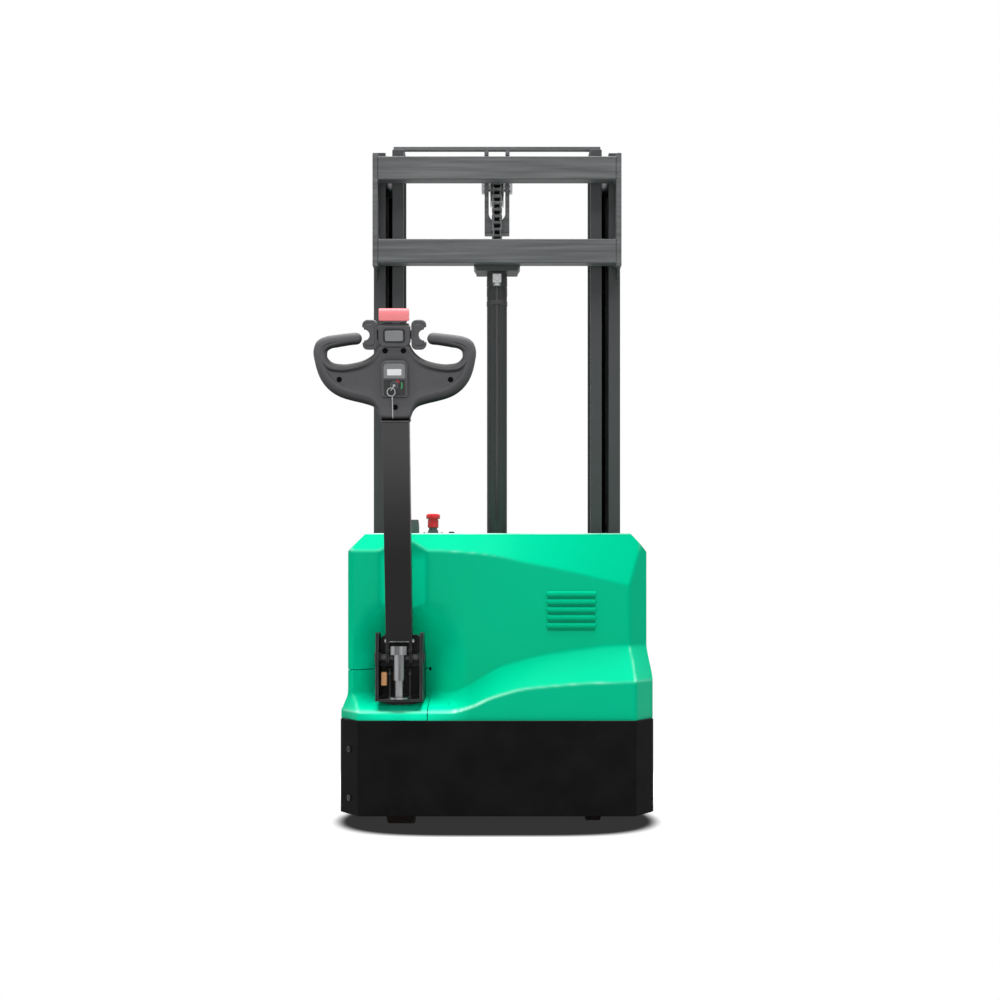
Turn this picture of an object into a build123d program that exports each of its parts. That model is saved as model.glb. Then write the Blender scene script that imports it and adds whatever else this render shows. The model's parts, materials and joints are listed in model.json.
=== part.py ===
from build123d import *
import os
from math import cos, radians, sin

# Electric walkie stacker with a two-stage mast, seen from the operator's side along +Y.
# X runs to the right, Y from the skirt's rear face to the fork tips and Z up from the floor, in mm.
# The finished pieces are moved along Y, so that the origin lies on the floor at mid wheelbase.

# Clearances
RUNNING = 0.05                  # radial, shaft in its bore
SLIDING = 0.3                   # beside faces that turn or slide past each other
WHEEL_SIDE = 3.0                # beside a wheel in its fork
SEAM = 1.5                      # between cover panels

# Chassis and skirt
BODY_WIDTH = 800.0
BODY_DEPTH = 395.0              # skirt's rear face to the bulkhead
SKIRT_BOTTOM_Z = 35.0
SKIRT_HEIGHT = 239.0
SKIRT_PLATE = 8.0
SKIRT_CORNER_WIDTH = 52.0       # corner chamfer along X
SKIRT_CORNER_DEPTH = 77.0       # and along Y
DECK_PLATE = 12.0
BULKHEAD_PLATE = 10.0
BULKHEAD_DROP = 10.0            # bulkhead's top below the cover's top
DECK_TOP_Z = SKIRT_BOTTOM_Z + SKIRT_HEIGHT
DECK_BOTTOM_Z = DECK_TOP_Z - DECK_PLATE
HALF_BODY = BODY_WIDTH / 2

# Cover
COVER_TOP_Z = 750.0
COVER_WALL = 4.0
COVER_STEP_IN = 10.0            # upper part's right side inside the skirt's
COVER_LEFT_STEP_IN = 16.0       # and its left side
COVER_REAR_Y = 95.0             # upper rear face
COVER_CORNER_WIDTH = 50.0       # upper right rear corner chamfer along X
COVER_CORNER_DEPTH = 55.0       # and along Y
COVER_LEFT_CORNER = 12.0        # upper left rear corner chamfer, both ways
COVER_TOP_CHAMFER_WIDTH = 43.0  # top side chamfer along X
COVER_TOP_CHAMFER_HEIGHT = 48.0
BEVEL_DEPTH = 45.0              # top rear bevel along Y
BEVEL_DROPS = ((-150.0, 46.0), (8.0, 62.0), (390.0, 148.0))   # X and height of the bevel's lower crease
LEDGE_Z = 300.0
LEDGE_REAR_Y = 10.0
LEDGE_CORNER_WIDTH = 51.0
FLARE_WIDTH = 6.0               # small bevel where the wave meets the sides
FLARE_HEIGHT = 10.0
WAVE_REAR = ((-115.0, 0.0), (10.0, 37.0), (143.0, 60.0))      # X and rise over the ledge, rear line
WAVE_REAR_END = 71.0
WAVE_UPPER = ((-140.0, 0.0), (10.0, 102.0), (146.0, 138.0))   # the same where the upper face starts
WAVE_UPPER_END = 159.0
WAVE_EASE = 0.6                 # how gently the wave leaves the ledge
SERVICE_EDGE_OFFSET = 70.0      # seam of the lower left panel, right of the steering axis
SERVICE_TOP_Z = 396.0
LOUVRE_COUNT = 5
LOUVRE_PITCH = 20.3
LOUVRE_LENGTH = 131.0
LOUVRE_HEIGHT = 15.0
LOUVRE_DEPTH = 7.0
LOUVRE_X = 191.0
LOUVRE_Z = 552.5
GROOVE_WIDTH = 118.0            # concave groove behind the tiller arm
GROOVE_DEPTH = 25.0
GROOVE_OFFSET = 7.0             # groove's centre to the right of the steering axis

# Steering, drive and tiller bracket
STEER_INSET = 154.0             # steering axis from the body's left side
STEER_Y = 118.0
NECK_RADIUS = 58.0
NECK_TOP_Z = 322.0
TURNTABLE_RADIUS = 82.0
TURNTABLE_PLATE = 20.0
POCKET_RADIUS = 86.0            # room in the cover for the turning bracket
POCKET_TOP_Z = 548.0
POCKET_DOME = 48.0              # height of the pocket's domed top
POCKET_FILLET = 24.0
POCKET_TURN = 45.0              # degrees that the bracket turns to each side
POCKET_GAP = 5.0                # round the turned bracket
NECK_HOLE_GAP = 5.0
DRIVE_WHEEL_RADIUS = 105.0
DRIVE_WHEEL_WIDTH = 70.0
DRIVE_AXLE_RADIUS = 20.0
TYRE_EDGE = 6.0
YOKE_ARM = 12.0
YOKE_DEPTH = 100.0
MOTOR_RADIUS = 68.0
MOTOR_LENGTH = 26.0
BRACKET_WIDTH = 120.0
BRACKET_PLATE = 8.0
BRACKET_REAR_Y = 12.0
BRACKET_FRONT_Y = 165.0
BRACKET_TOP_Z = 494.0
BRACKET_TOP_REAR_Y = 22.0
BRACKET_TOP_FRONT_Y = 95.0
BRACKET_BACK_TOP_Z = 420.0
BRACKET_BASE_PLATE = 6.0

# Tiller
PIVOT_Y = 38.0
PIVOT_Z = 432.0
PIVOT_RADIUS = 8.0
TILLER_LEAN = 13.0              # degrees from upright towards the operator
ARM_WIDTH = 66.0
ARM_DEPTH = 40.0
ARM_WALL = 4.0
ARM_START = 47.0                # along the arm from the pivot
ARM_LENGTH = 550.0
LUG_PLATE = 8.0
LUG_RADIUS = 20.0
EYE_LEVER = 30.0                # gas spring's upper pin from the pivot
EYE_ANGLE = 37.5                # degrees above level, towards the operator
EYE_PIN_RADIUS = 5.0
EYE_SLOT_HALF = 10.0            # slot in the eye, to each side of the pin
EYE_GAP = 1.0                   # over and under the pin, which moves on an arc
EYE_WIDTH = 40.0
EYE_WALL = 5.0
SLEEVE_RADIUS = 15.0
SLEEVE_WALL_TOP = 6.0
SLEEVE_TRAVEL = 37.0            # how far the tilting tiller drives the sleeve down
SLEEVE_END_GAP = 5.0            # left at both ends of that travel
SPRING_TUBE_RADIUS = 11.5
SPRING_FOOT_RADIUS = 26.0
SPRING_FOOT_HEIGHT = 5.0
HEAD_START = ARM_START + ARM_LENGTH
HEAD_HEIGHT = 229.0             # arm's end to the neck's top
HEAD_THICKNESS = 36.0
HEAD_HALF_WIDTH = 196.0
NECK_HALF = 38.0
NECK_FOOT_HALF = 31.0
GRIP_THICKNESS = 29.0
GRIP_END_X = 80.0               # free end of each grip
GRIP_END_RISE = 213.0           # its top over the head's start
GRIP_SLOPE = 10.0               # the grip's fall towards the outside
GRIP_SHOULDER = 46.0            # where the straight grip ends, inside the widest point
GAP_END = 32.0                  # finger gap's outer end, inside the widest point
WING_POINTS = ((141.0, 33.0), (60.0, 58.0), (8.0, 119.0), (0.0, 165.0), (20.0, 198.0))  # inset and rise
LOOP_BOTTOM_RISE = 136.0        # finger gap's lower edge over the head's start
PANEL_WIDTH = 63.0
PANEL_BOTTOM_RISE = 58.0
PANEL_HEIGHT = 88.0
PANEL_THICKNESS = 12.0
LOCK_RADIUS = 9.0
LOCK_HEIGHT = 6.0
LOCK_RISE = 88.0
KEY_GAP = 0.4
KEY_BOW_RADIUS = 10.0
KEY_PLATE = 2.5
KEY_STEM_RADIUS = 3.0
KEY_STEM = 5.0
KEY_RING_RADIUS = 10.0
KEY_RING_WIRE = 1.2
SPARE_KEY_LENGTH = 52.0
SPARE_KEY_WIDTH = 9.0
SWITCH_SHAFT_RISE = 206.0
SWITCH_SHAFT_RADIUS = 5.0
SWITCH_HEIGHT = 71.0
SWITCH_WIDTH = 35.0
SWITCH_THICKNESS = 30.0
SWITCH_NOTCH_HEIGHT = 27.0
SWITCH_NOTCH_DEPTH = 21.0
BELLY_WIDTH = 72.0
BELLY_HEIGHT = 29.0
BELLY_THICKNESS = 34.0
BELLY_GAP = 10.0                # over the neck's top
BELLY_TRAVEL = 6.0
BELLY_STEM_RADIUS = 5.0
BELLY_STEM_X = 18.0
BELLY_STEM = 8.0                # in the neck at rest
HORN_WIDTH = 44.0
HORN_HEIGHT = 25.0
HORN_RISE = 204.0
HORN_PROUD = 4.0
HORN_TRAVEL = 3.0
HORN_SEAT = 3.0                 # depth of the button in its recess
HORN_GAP = 0.5

# Outer mast
MAST_WIDTH = 696.0
MAST_BOTTOM_Z = 60.0
MAST_TOP_Z = 1838.0
CHANNEL_DEPTH = 130.0
CHANNEL_WIDTH = 33.0
CHANNEL_WEB = 10.0
CHANNEL_FLANGE = 14.0
BEAM_DEPTH = 43.0
SIDE_PLATE_DEPTH = 45.0
SIDE_PLATE = 15.0
SIDE_PLATE_DROP = 13.0          # side plates' top below the channels' top
SIDE_PLATE_LAP = 10.0           # side plates' bottom below the lower beam
UPPER_BEAM_DROP = 88.0          # upper beam's underside below the channels' top
UPPER_BEAM_HEIGHT = 65.0
BEAM_PITCH = 233.0              # between the two beams' undersides
LOWER_BEAM_HEIGHT = 67.0
BEAM_WALL = 6.0
BASE_BEAM_Z = 86.0
BASE_BEAM_HEIGHT = 64.0
BASE_PLATE_TOP_Z = 520.0
ANCHOR_BEAM_Z = 440.0
ANCHOR_BEAM_HEIGHT = 60.0
ANCHOR_PLATE = 12.0
ANCHOR_HALF_WIDTH = 50.0
FOOT_PLATE = 12.0

# Inner mast
MAST_GAP = 19.0                 # between outer and inner channels
INNER_WIDTH = 32.0
INNER_WEB = 10.0
INNER_TOP_RISE = 10.0           # inner channels' top over the outer channels' top
TOP_BEAM_HEIGHT = 24.0
TOP_BEAM_REAR = 50.0            # behind the inner channels' rear face, forwards
PUSH_BEAM_RISE = 5.0            # over the lower beam's underside
PUSH_BEAM_HEIGHT = 66.0
PUSH_BEAM_DEPTH = 46.0
PUSH_TAB_DEPTH = 13.0
BOTTOM_BEAM_Z = 86.0
BOTTOM_BEAM_HEIGHT = 44.0
BOTTOM_BEAM_DEPTH = 44.0

# Rollers
ROLLER_PLAY = 0.5
ROLLER_PIN_RADIUS = 15.0
ROLLER_WIDTH = 36.0
CARRIAGE_ROLLER_WIDTH = 28.0
ROLLER_SIDE = 1.0               # beside the web it runs next to
TOP_ROLLER_DROP = 58.0          # below the outer channel's top
BOTTOM_ROLLER_RISE = 55.0       # over the inner channel's bottom

# Lift cylinder
CYLINDER_OFFSET = 25.0          # axis from the mast's rear face
BARREL_RADIUS = 28.5
BARREL_BORE = 22.5
ROD_RADIUS = 20.0
PISTON_HEIGHT = 25.0
GLAND_HEIGHT = 19.0
GLAND_DROP = 18.0               # gland's top below the lower beam
BARREL_FLOOR = 40.0
ROD_END_GAP = 12.0              # under the lowered piston
HEAD_BRACKET_WIDTH = 132.0
HEAD_BRACKET_HEIGHT = 27.0
HEAD_BRACKET_LAP = 20.0         # under the lower beam
PORT_RADIUS = 11.0
PORT_LENGTH = 14.0
PORT_DROP = 37.0                # port below the gland's top
PIPE_RADIUS = 4.0
PIPE_RISE = 50.0                # pipe's bottom over the cover
CLIP_DROP = 89.0                # clip below the gland's top
CLIP_HEIGHT = 12.0
CLIP_THICKNESS = 3.0

# Chain and chain wheel
CHAIN_WHEEL_OFFSET = 113.0      # axle from the mast's rear face
CHAIN_WHEEL_DROP = 76.0         # axle below the inner channels' top
CHAIN_PITCH_RADIUS = 45.0
CHAIN_WIDTH = 30.0
CHAIN_DEPTH = 16.0
WHEEL_RIM = 4.0                 # rim over the chain's outside
WHEEL_FLANGE = 4.5
PULLEY_AXLE_RADIUS = 12.5
PULLEY_NUT_RADIUS = 18.0
PULLEY_NUT = 9.0
PULLEY_BRACKET_WIDTH = 72.0
PULLEY_ARM = 12.0
PULLEY_BRACKET_DEPTH = 36.0
PULLEY_BRACKET_HEIGHT = 213.0
PULLEY_WEB_HEIGHT = 35.0

# Carriage and forks
CARRIAGE_PLATE = 12.0
CARRIAGE_ROLLER_SIDE = 6.0      # between a carriage plate and its rollers
CARRIAGE_REAR_GAP = 7.0         # in front of the push beam
CARRIAGE_FRONT = 60.0           # in front of the mast
CARRIAGE_BOTTOM_Z = 140.0
CARRIAGE_TOP_Z = 560.0
CARRIAGE_BAR_DEPTH = 50.0
LOWER_BAR_Z = 150.0
LOWER_BAR_HEIGHT = 80.0
UPPER_BAR_Z = 300.0
UPPER_BAR_HEIGHT = 75.0
UPPER_ROLLER_Z = 500.0
LOWER_ROLLER_Z = 210.0
FORK_LENGTH = 1150.0
FORK_WIDTH = 165.0
FORK_X = 200.0
FORK_TOP_Z = 90.0
FORK_BOTTOM_Z = 30.0
FORK_PLATE = 6.0
FORK_TIP = 150.0
FORK_TIP_WIDTH = 90.0
SHANK_THICKNESS = 20.0
SHANK_TOP_Z = 420.0

# Support legs, load wheels and castor
LEG_WIDTH = 100.0
LEG_PLATE = 6.0
LEG_BOTTOM_Z = 25.0
LEG_TOP_Z = 80.0
LOAD_WHEEL_Y = 1340.0
LOAD_WHEEL_RADIUS = 40.0
LOAD_WHEEL_WIDTH = 70.0
LOAD_AXLE_RADIUS = 10.0
CASTOR_INSET = 150.0            # castor's swivel from the body's right side
CASTOR_Y = 130.0
CASTOR_TRAIL = 35.0
CASTOR_RADIUS = 62.5
CASTOR_WIDTH = 40.0
CASTOR_AXLE_RADIUS = 8.0
CASTOR_STEM_RADIUS = 15.0
CASTOR_CROWN = 12.0
CASTOR_FORK_PLATE = 6.0
CASTOR_FORK_DEPTH = 44.0
CASTOR_HEAD_RADIUS = 38.0

# Pieces inside and on top of the cover
BATTERY_WIDTH = 640.0
BATTERY_DEPTH = 110.0
BATTERY_HEIGHT = 290.0
BATTERY_GAP = 20.0              # between the battery and the pieces behind it
TANK_INSET = 60.0               # oil tank from the body's right side
TANK_WIDTH = 160.0
TANK_DEPTH = 145.0
TANK_HEIGHT = 150.0
PUMP_RADIUS = 52.0
PUMP_LENGTH = 140.0
CONTROLLER_X = -80.0
CONTROLLER_WIDTH = 90.0
CONTROLLER_DEPTH = 135.0
CONTROLLER_HEIGHT = 55.0
STOP_X = -169.0
STOP_Y = 200.0
STOP_COLLAR_RADIUS = 10.8
STOP_COLLAR_HEIGHT = 25.0
STOP_SLEEVE_RADIUS = 14.3
STOP_SLEEVE_START = 17.0
STOP_SLEEVE_HEIGHT = 23.0
STOP_HEAD_RADIUS = 18.4
STOP_HEAD_HEIGHT = 14.0
SOCKET_X = -231.0
SOCKET_WIDTH = 24.0
SOCKET_Y = 190.0
SOCKET_DEPTH = 40.0
SOCKET_HEIGHT = 39.0
SOCKET_FRONT_HEIGHT = 22.0
SCREW_RADIUS = 4.0
SCREW_HEIGHT = 5.0
SCREW_SPREAD = 23.0
CAP_RADIUS = 8.0
CAP_HEIGHT = 7.0
CAP_X = -120.0
SKIRT_BOLT_RADIUS = 8.0
SKIRT_BOLT_HEIGHT = 4.0
SKIRT_BOLT_LEVELS = (77.0, 200.0)

# Places that follow from the sizes above
ORIGIN_Y = (STEER_Y + LOAD_WHEEL_Y) / 2
STEER_X = STEER_INSET - HALF_BODY
CASTOR_X = HALF_BODY - CASTOR_INSET
SERVICE_EDGE_X = STEER_X + SERVICE_EDGE_OFFSET
TANK_X = HALF_BODY - TANK_INSET - TANK_WIDTH
TANK_Y = BODY_DEPTH - BATTERY_DEPTH - BATTERY_GAP - TANK_DEPTH
CONTROLLER_Y = BODY_DEPTH - BATTERY_DEPTH - BATTERY_GAP - CONTROLLER_DEPTH
BULKHEAD_FRONT_Y = BODY_DEPTH + BULKHEAD_PLATE
MAST_Y = BULKHEAD_FRONT_Y + SIDE_PLATE_DEPTH
MAST_FRONT_Y = MAST_Y + CHANNEL_DEPTH
ROLLER_Y = MAST_Y + CHANNEL_DEPTH / 2
ROLLER_RADIUS = CHANNEL_DEPTH / 2 - CHANNEL_FLANGE - ROLLER_PLAY
HALF_MAST = MAST_WIDTH / 2
SIDE_PLATE_TOP_Z = MAST_TOP_Z - SIDE_PLATE_DROP
UPPER_BEAM_Z = MAST_TOP_Z - UPPER_BEAM_DROP
LOWER_BEAM_Z = UPPER_BEAM_Z - BEAM_PITCH
SIDE_PLATE_BOTTOM_Z = LOWER_BEAM_Z - SIDE_PLATE_LAP
INNER_TOP_Z = MAST_TOP_Z + INNER_TOP_RISE
PUSH_BEAM_Z = LOWER_BEAM_Z + PUSH_BEAM_RISE
GLAND_TOP_Z = LOWER_BEAM_Z - GLAND_DROP
PORT_Z = GLAND_TOP_Z - PORT_DROP
CLIP_Z = GLAND_TOP_Z - CLIP_DROP
PIPE_BOTTOM_Z = COVER_TOP_Z + PIPE_RISE
CHAIN_WHEEL_Z = INNER_TOP_Z - CHAIN_WHEEL_DROP
PULLEY_BRACKET_BOTTOM_Z = INNER_TOP_Z - PULLEY_BRACKET_HEIGHT
HALF_INNER = HALF_MAST - CHANNEL_WIDTH - MAST_GAP
INNER_EDGE = HALF_INNER - INNER_WIDTH
INNER_WEB_OUT = HALF_INNER - (INNER_WIDTH - INNER_WEB) / 2
INNER_WEB_IN = INNER_WEB_OUT - INNER_WEB
TOP_ROLLER_Z = MAST_TOP_Z - TOP_ROLLER_DROP
BOTTOM_ROLLER_Z = MAST_BOTTOM_Z + BOTTOM_ROLLER_RISE
CYLINDER_Y = MAST_Y + CYLINDER_OFFSET
ROD_BOTTOM_Z = BASE_BEAM_Z + FOOT_PLATE + BARREL_FLOOR + ROD_END_GAP
WHEEL_Y = MAST_Y + CHAIN_WHEEL_OFFSET
CHAIN_REAR_Y = WHEEL_Y - CHAIN_PITCH_RADIUS
CHAIN_FRONT_Y = WHEEL_Y + CHAIN_PITCH_RADIUS
ANCHOR_TOP_Z = ANCHOR_BEAM_Z + ANCHOR_BEAM_HEIGHT
CARRIAGE_OUT = INNER_WEB_IN - ROLLER_SIDE - CARRIAGE_ROLLER_WIDTH - CARRIAGE_ROLLER_SIDE
CARRIAGE_IN = CARRIAGE_OUT - CARRIAGE_PLATE
CARRIAGE_REAR_Y = MAST_Y + PUSH_BEAM_DEPTH + CARRIAGE_REAR_GAP
CARRIAGE_FRONT_Y = MAST_FRONT_Y + CARRIAGE_FRONT
POCKET_DOME_Z = POCKET_TOP_Z - POCKET_DOME


# Helpers

def block(x0, x1, y0, y1, z0, z1):
    """Box between two opposite corners."""
    return Pos((x0 + x1) / 2, (y0 + y1) / 2, (z0 + z1) / 2) * Box(x1 - x0, y1 - y0, z1 - z0)


def upright(radius, x, y, z0, z1):
    """Cylinder along Z."""
    return Pos(x, y, (z0 + z1) / 2) * Cylinder(radius, z1 - z0)


def crosswise(radius, x0, x1, y, z):
    """Cylinder along X."""
    return Pos((x0 + x1) / 2, y, z) * Rot(0, 90, 0) * Cylinder(radius, abs(x1 - x0))


def side_profile(points, x0, x1):
    """Outline of (y, z) points, carried along X."""
    face = make_face(Polyline(*[(x0, y, z) for y, z in points], close=True))
    return extrude(face, amount=x1 - x0, dir=(1, 0, 0))


def plan_profile(points, z0, z1):
    """Outline of (x, y) points, carried along Z."""
    face = make_face(Polyline(*[(x, y, z0) for x, y in points], close=True))
    return extrude(face, amount=z1 - z0, dir=(0, 0, 1))


def both_sides(shape):
    """A shape and its mirror image on the other side of the truck."""
    return shape, mirror(shape, about=Plane.YZ)


def save(node, *shapes):
    """Write one node, moved so that the origin lies at mid wheelbase."""
    solids = [solid for shape in shapes for solid in shape.solids()]
    placed = [Pos(0, -ORIGIN_Y, 0) * solid for solid in solids]
    export_step(placed[0] if len(placed) == 1 else Compound(children=placed), f"parts/{node}.step")


# Chassis and covers

def body_plan(inset):
    """Outline of the skirt seen from above, drawn in by a wall."""
    half = HALF_BODY
    points = [
        (-half, BODY_DEPTH),
        (-half, SKIRT_CORNER_DEPTH),
        (-half + SKIRT_CORNER_WIDTH, 0),
        (half - SKIRT_CORNER_WIDTH, 0),
        (half, SKIRT_CORNER_DEPTH),
        (half, BODY_DEPTH),
    ]
    face = make_face(Polyline(*points, close=True))
    return offset(face, amount=-inset, kind=Kind.INTERSECTION) if inset else face


def make_skirt():
    """Bent plate round the drive compartment, open towards the mast."""
    outer = extrude(Pos(0, 0, SKIRT_BOTTOM_Z) * body_plan(0), amount=SKIRT_HEIGHT)
    inner = extrude(Pos(0, 0, SKIRT_BOTTOM_Z) * body_plan(SKIRT_PLATE), amount=SKIRT_HEIGHT)
    inside = HALF_BODY - SKIRT_PLATE
    front = block(-inside, inside, BODY_DEPTH - 2 * SKIRT_PLATE, BODY_DEPTH,
                  SKIRT_BOTTOM_Z, DECK_TOP_Z)
    return outer - inner - front


def make_chassis_frame():
    """Deck plate inside the skirt, welded to the bulkhead that carries the mast and the legs."""
    deck = extrude(Pos(0, 0, DECK_BOTTOM_Z) * body_plan(SKIRT_PLATE), amount=DECK_PLATE)
    inside = HALF_BODY - SKIRT_PLATE
    deck += block(-inside, inside, BODY_DEPTH - 2 * SKIRT_PLATE, BODY_DEPTH, DECK_BOTTOM_Z, DECK_TOP_Z)
    deck += block(-inside, inside, BODY_DEPTH, BULKHEAD_FRONT_Y, LEG_BOTTOM_Z, COVER_TOP_Z - BULKHEAD_DROP)
    deck -= upright(NECK_RADIUS + RUNNING, STEER_X, STEER_Y, DECK_BOTTOM_Z, DECK_TOP_Z)
    return deck - upright(CASTOR_STEM_RADIUS + RUNNING, CASTOR_X, CASTOR_Y, DECK_BOTTOM_Z, DECK_TOP_Z)


def wave_wire(y, half_width, flare_width, flare_height, wave, end, inset, bottom):
    """Section of the lower cover at one y: flat ledge on the left, then the wave up to the right."""
    ledge = LEDGE_Z - inset
    half = half_width - inset
    right_top = ledge + end
    crest = [(x, y, ledge + rise) for x, rise in wave] + [(half - flare_width, y, right_top)]
    curve = Spline(*crest, tangents=[(1, 0, 0), (1, 0, 0)], tangent_scalars=[WAVE_EASE, WAVE_EASE])
    corners = [
        crest[-1],
        (half, y, right_top - flare_height),
        (half, y, bottom),
        (-half, y, bottom),
        (-half, y, ledge - FLARE_HEIGHT),
        (-half + flare_width, y, ledge),
        crest[0],
    ]
    return Wire([curve] + [Line(start, end) for start, end in zip(corners, corners[1:])])


def bevel_section(x, drop):
    """Triangle over the top rear bevel at one x."""
    y0 = COVER_REAR_Y - BEVEL_DEPTH / 2
    y1 = COVER_REAR_Y + BEVEL_DEPTH * 3 / 2
    z0 = COVER_TOP_Z - drop * 3 / 2
    z1 = COVER_TOP_Z + drop / 2
    return make_face(Polyline((x, y0, z0), (x, y1, z1), (x, y0, z1), close=True))


def pocket(inset):
    """Round pocket about the steering axis, with a dome, opened out for the turned bracket."""
    radius = POCKET_RADIUS + inset
    floor = LEDGE_Z - inset
    foot = POCKET_FILLET
    slant = foot * (1 - sin(radians(45)))
    top = POCKET_TOP_Z + inset
    rise = top - POCKET_DOME_Z
    curve = (radius * radius + rise * rise) / (2 * rise)
    outline = [
        Line((0, 0, floor), (radius - foot, 0, floor)),
        ThreePointArc(
            (radius - foot, 0, floor),
            (radius - slant, 0, floor + slant),
            (radius, 0, floor + foot),
        ),
        Line((radius, 0, floor + foot), (radius, 0, POCKET_DOME_Z)),
        ThreePointArc(
            (radius, 0, POCKET_DOME_Z),
            (radius / 2, 0, top - curve + (curve * curve - radius * radius / 4) ** 0.5),
            (0, 0, top),
        ),
        Line((0, 0, top), (0, 0, floor)),
    ]
    form = revolve(make_face(outline), axis=Axis.Z)
    half = BRACKET_WIDTH / 2 + POCKET_GAP + inset
    room = block(-half, half, BRACKET_REAR_Y - STEER_Y, 0,
                 NECK_TOP_Z - POCKET_GAP - inset, BRACKET_TOP_Z + POCKET_GAP + inset)
    for turn in (-POCKET_TURN, POCKET_TURN):
        form += Rot(0, 0, turn) * room
    return Pos(STEER_X, STEER_Y, 0) * form


def groove(inset):
    """Concave groove down the upper rear face, behind the tiller arm."""
    half = GROOVE_WIDTH / 2
    radius = (half * half + GROOVE_DEPTH * GROOVE_DEPTH) / (2 * GROOVE_DEPTH)
    y = COVER_REAR_Y + GROOVE_DEPTH - radius
    return upright(radius + inset, STEER_X + GROOVE_OFFSET, y, POCKET_DOME_Z, COVER_TOP_Z + POCKET_RADIUS)


def cover_shape(inset):
    """Solid form of the whole cover, drawn in by a wall; the inner one runs out below and in front."""
    reach = SKIRT_PLATE if inset else 0
    bottom = DECK_TOP_Z - reach
    front = BODY_DEPTH + reach
    right = HALF_BODY - COVER_STEP_IN - inset
    left = HALF_BODY - COVER_LEFT_STEP_IN - inset
    rear = COVER_REAR_Y + inset
    top = COVER_TOP_Z - inset
    ledge_half = HALF_BODY - LEDGE_CORNER_WIDTH
    low = wave_wire(LEDGE_REAR_Y + inset, ledge_half, FLARE_WIDTH, FLARE_HEIGHT,
                    WAVE_REAR, WAVE_REAR_END, inset, bottom)
    high = wave_wire(rear, HALF_BODY, COVER_STEP_IN, WAVE_UPPER_END - WAVE_REAR_END,
                     WAVE_UPPER, WAVE_UPPER_END, inset, bottom)
    lower = Solid.make_loft([low, high], True)
    lower += extrude(Face(high), amount=front - rear, dir=(0, 1, 0))
    upper = plan_profile(
        [
            (-left, front),
            (-left, rear + COVER_LEFT_CORNER),
            (-left + COVER_LEFT_CORNER, rear),
            (right - COVER_CORNER_WIDTH, rear),
            (right, rear + COVER_CORNER_DEPTH),
            (right, front),
        ],
        bottom,
        top,
    )
    slope = COVER_TOP_CHAMFER_HEIGHT / COVER_TOP_CHAMFER_WIDTH
    wide = 2 * COVER_TOP_CHAMFER_WIDTH
    for side, half in ((-1, left), (1, right)):
        edge = side * (half - COVER_TOP_CHAMFER_WIDTH)
        corner = Polyline(
            (edge - side * COVER_TOP_CHAMFER_WIDTH, 0, top + wide * slope / 2),
            (edge + side * wide, 0, top + wide * slope / 2),
            (edge + side * wide, 0, top - wide * slope),
            close=True,
        )
        upper -= extrude(make_face(corner), amount=front, dir=(0, 1, 0))
    stations = [(-HALF_BODY, BEVEL_DROPS[0][1])] + list(BEVEL_DROPS) + [(HALF_BODY, BEVEL_DROPS[-1][1])]
    bevel = loft([bevel_section(x, drop) for x, drop in stations], ruled=True)
    upper -= Pos(0, inset, -inset) * bevel
    return lower + upper - pocket(inset) - groove(inset)


def make_louvres():
    """Pressed ribs over the vent slots, each open below."""
    ribs = []
    for index in range(LOUVRE_COUNT):
        z = LOUVRE_Z + (index - (LOUVRE_COUNT - 1) / 2) * LOUVRE_PITCH
        x0 = LOUVRE_X - LOUVRE_LENGTH / 2
        points = [
            (COVER_REAR_Y, z + LOUVRE_HEIGHT / 2),
            (COVER_REAR_Y - LOUVRE_DEPTH, z - LOUVRE_HEIGHT / 6),
            (COVER_REAR_Y - LOUVRE_DEPTH, z - LOUVRE_HEIGHT / 2),
            (COVER_REAR_Y, z - LOUVRE_HEIGHT / 2),
        ]
        ribs.append(side_profile(points, x0, x0 + LOUVRE_LENGTH))
    return ribs


def make_covers():
    """Main cover and the lower left service cover, cut from one shell along the seam."""
    shell = cover_shape(0) - cover_shape(COVER_WALL)
    shell -= upright(NECK_RADIUS + NECK_HOLE_GAP, STEER_X, STEER_Y, DECK_TOP_Z, NECK_TOP_Z)
    for rib in make_louvres():
        shell += rib
    panel = block(-BODY_WIDTH, SERVICE_EDGE_X, -BODY_DEPTH, 2 * BODY_DEPTH, 0, SERVICE_TOP_Z)
    cut = block(-BODY_WIDTH, SERVICE_EDGE_X + SEAM, -BODY_DEPTH, 2 * BODY_DEPTH, 0, SERVICE_TOP_Z + SEAM)
    return shell - cut, shell & panel


def make_battery():
    """Battery case, standing on the deck against the bulkhead."""
    return block(-BATTERY_WIDTH / 2, BATTERY_WIDTH / 2, BODY_DEPTH - BATTERY_DEPTH, BODY_DEPTH,
                 DECK_TOP_Z, DECK_TOP_Z + BATTERY_HEIGHT)


def make_oil_tank():
    """Oil tank on the deck at the right."""
    return block(TANK_X, TANK_X + TANK_WIDTH, TANK_Y, TANK_Y + TANK_DEPTH,
                 DECK_TOP_Z, DECK_TOP_Z + TANK_HEIGHT)


def make_pump_motor():
    """Pump motor flanged to the tank's side, lying on the deck."""
    return crosswise(PUMP_RADIUS, TANK_X - PUMP_LENGTH, TANK_X,
                     TANK_Y + TANK_DEPTH / 2, DECK_TOP_Z + PUMP_RADIUS)


def make_controller():
    """Motor controller with cooling fins on the deck."""
    x1 = CONTROLLER_X + CONTROLLER_WIDTH
    return block(CONTROLLER_X, x1, CONTROLLER_Y, CONTROLLER_Y + CONTROLLER_DEPTH,
                 DECK_TOP_Z, DECK_TOP_Z + CONTROLLER_HEIGHT)


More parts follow.
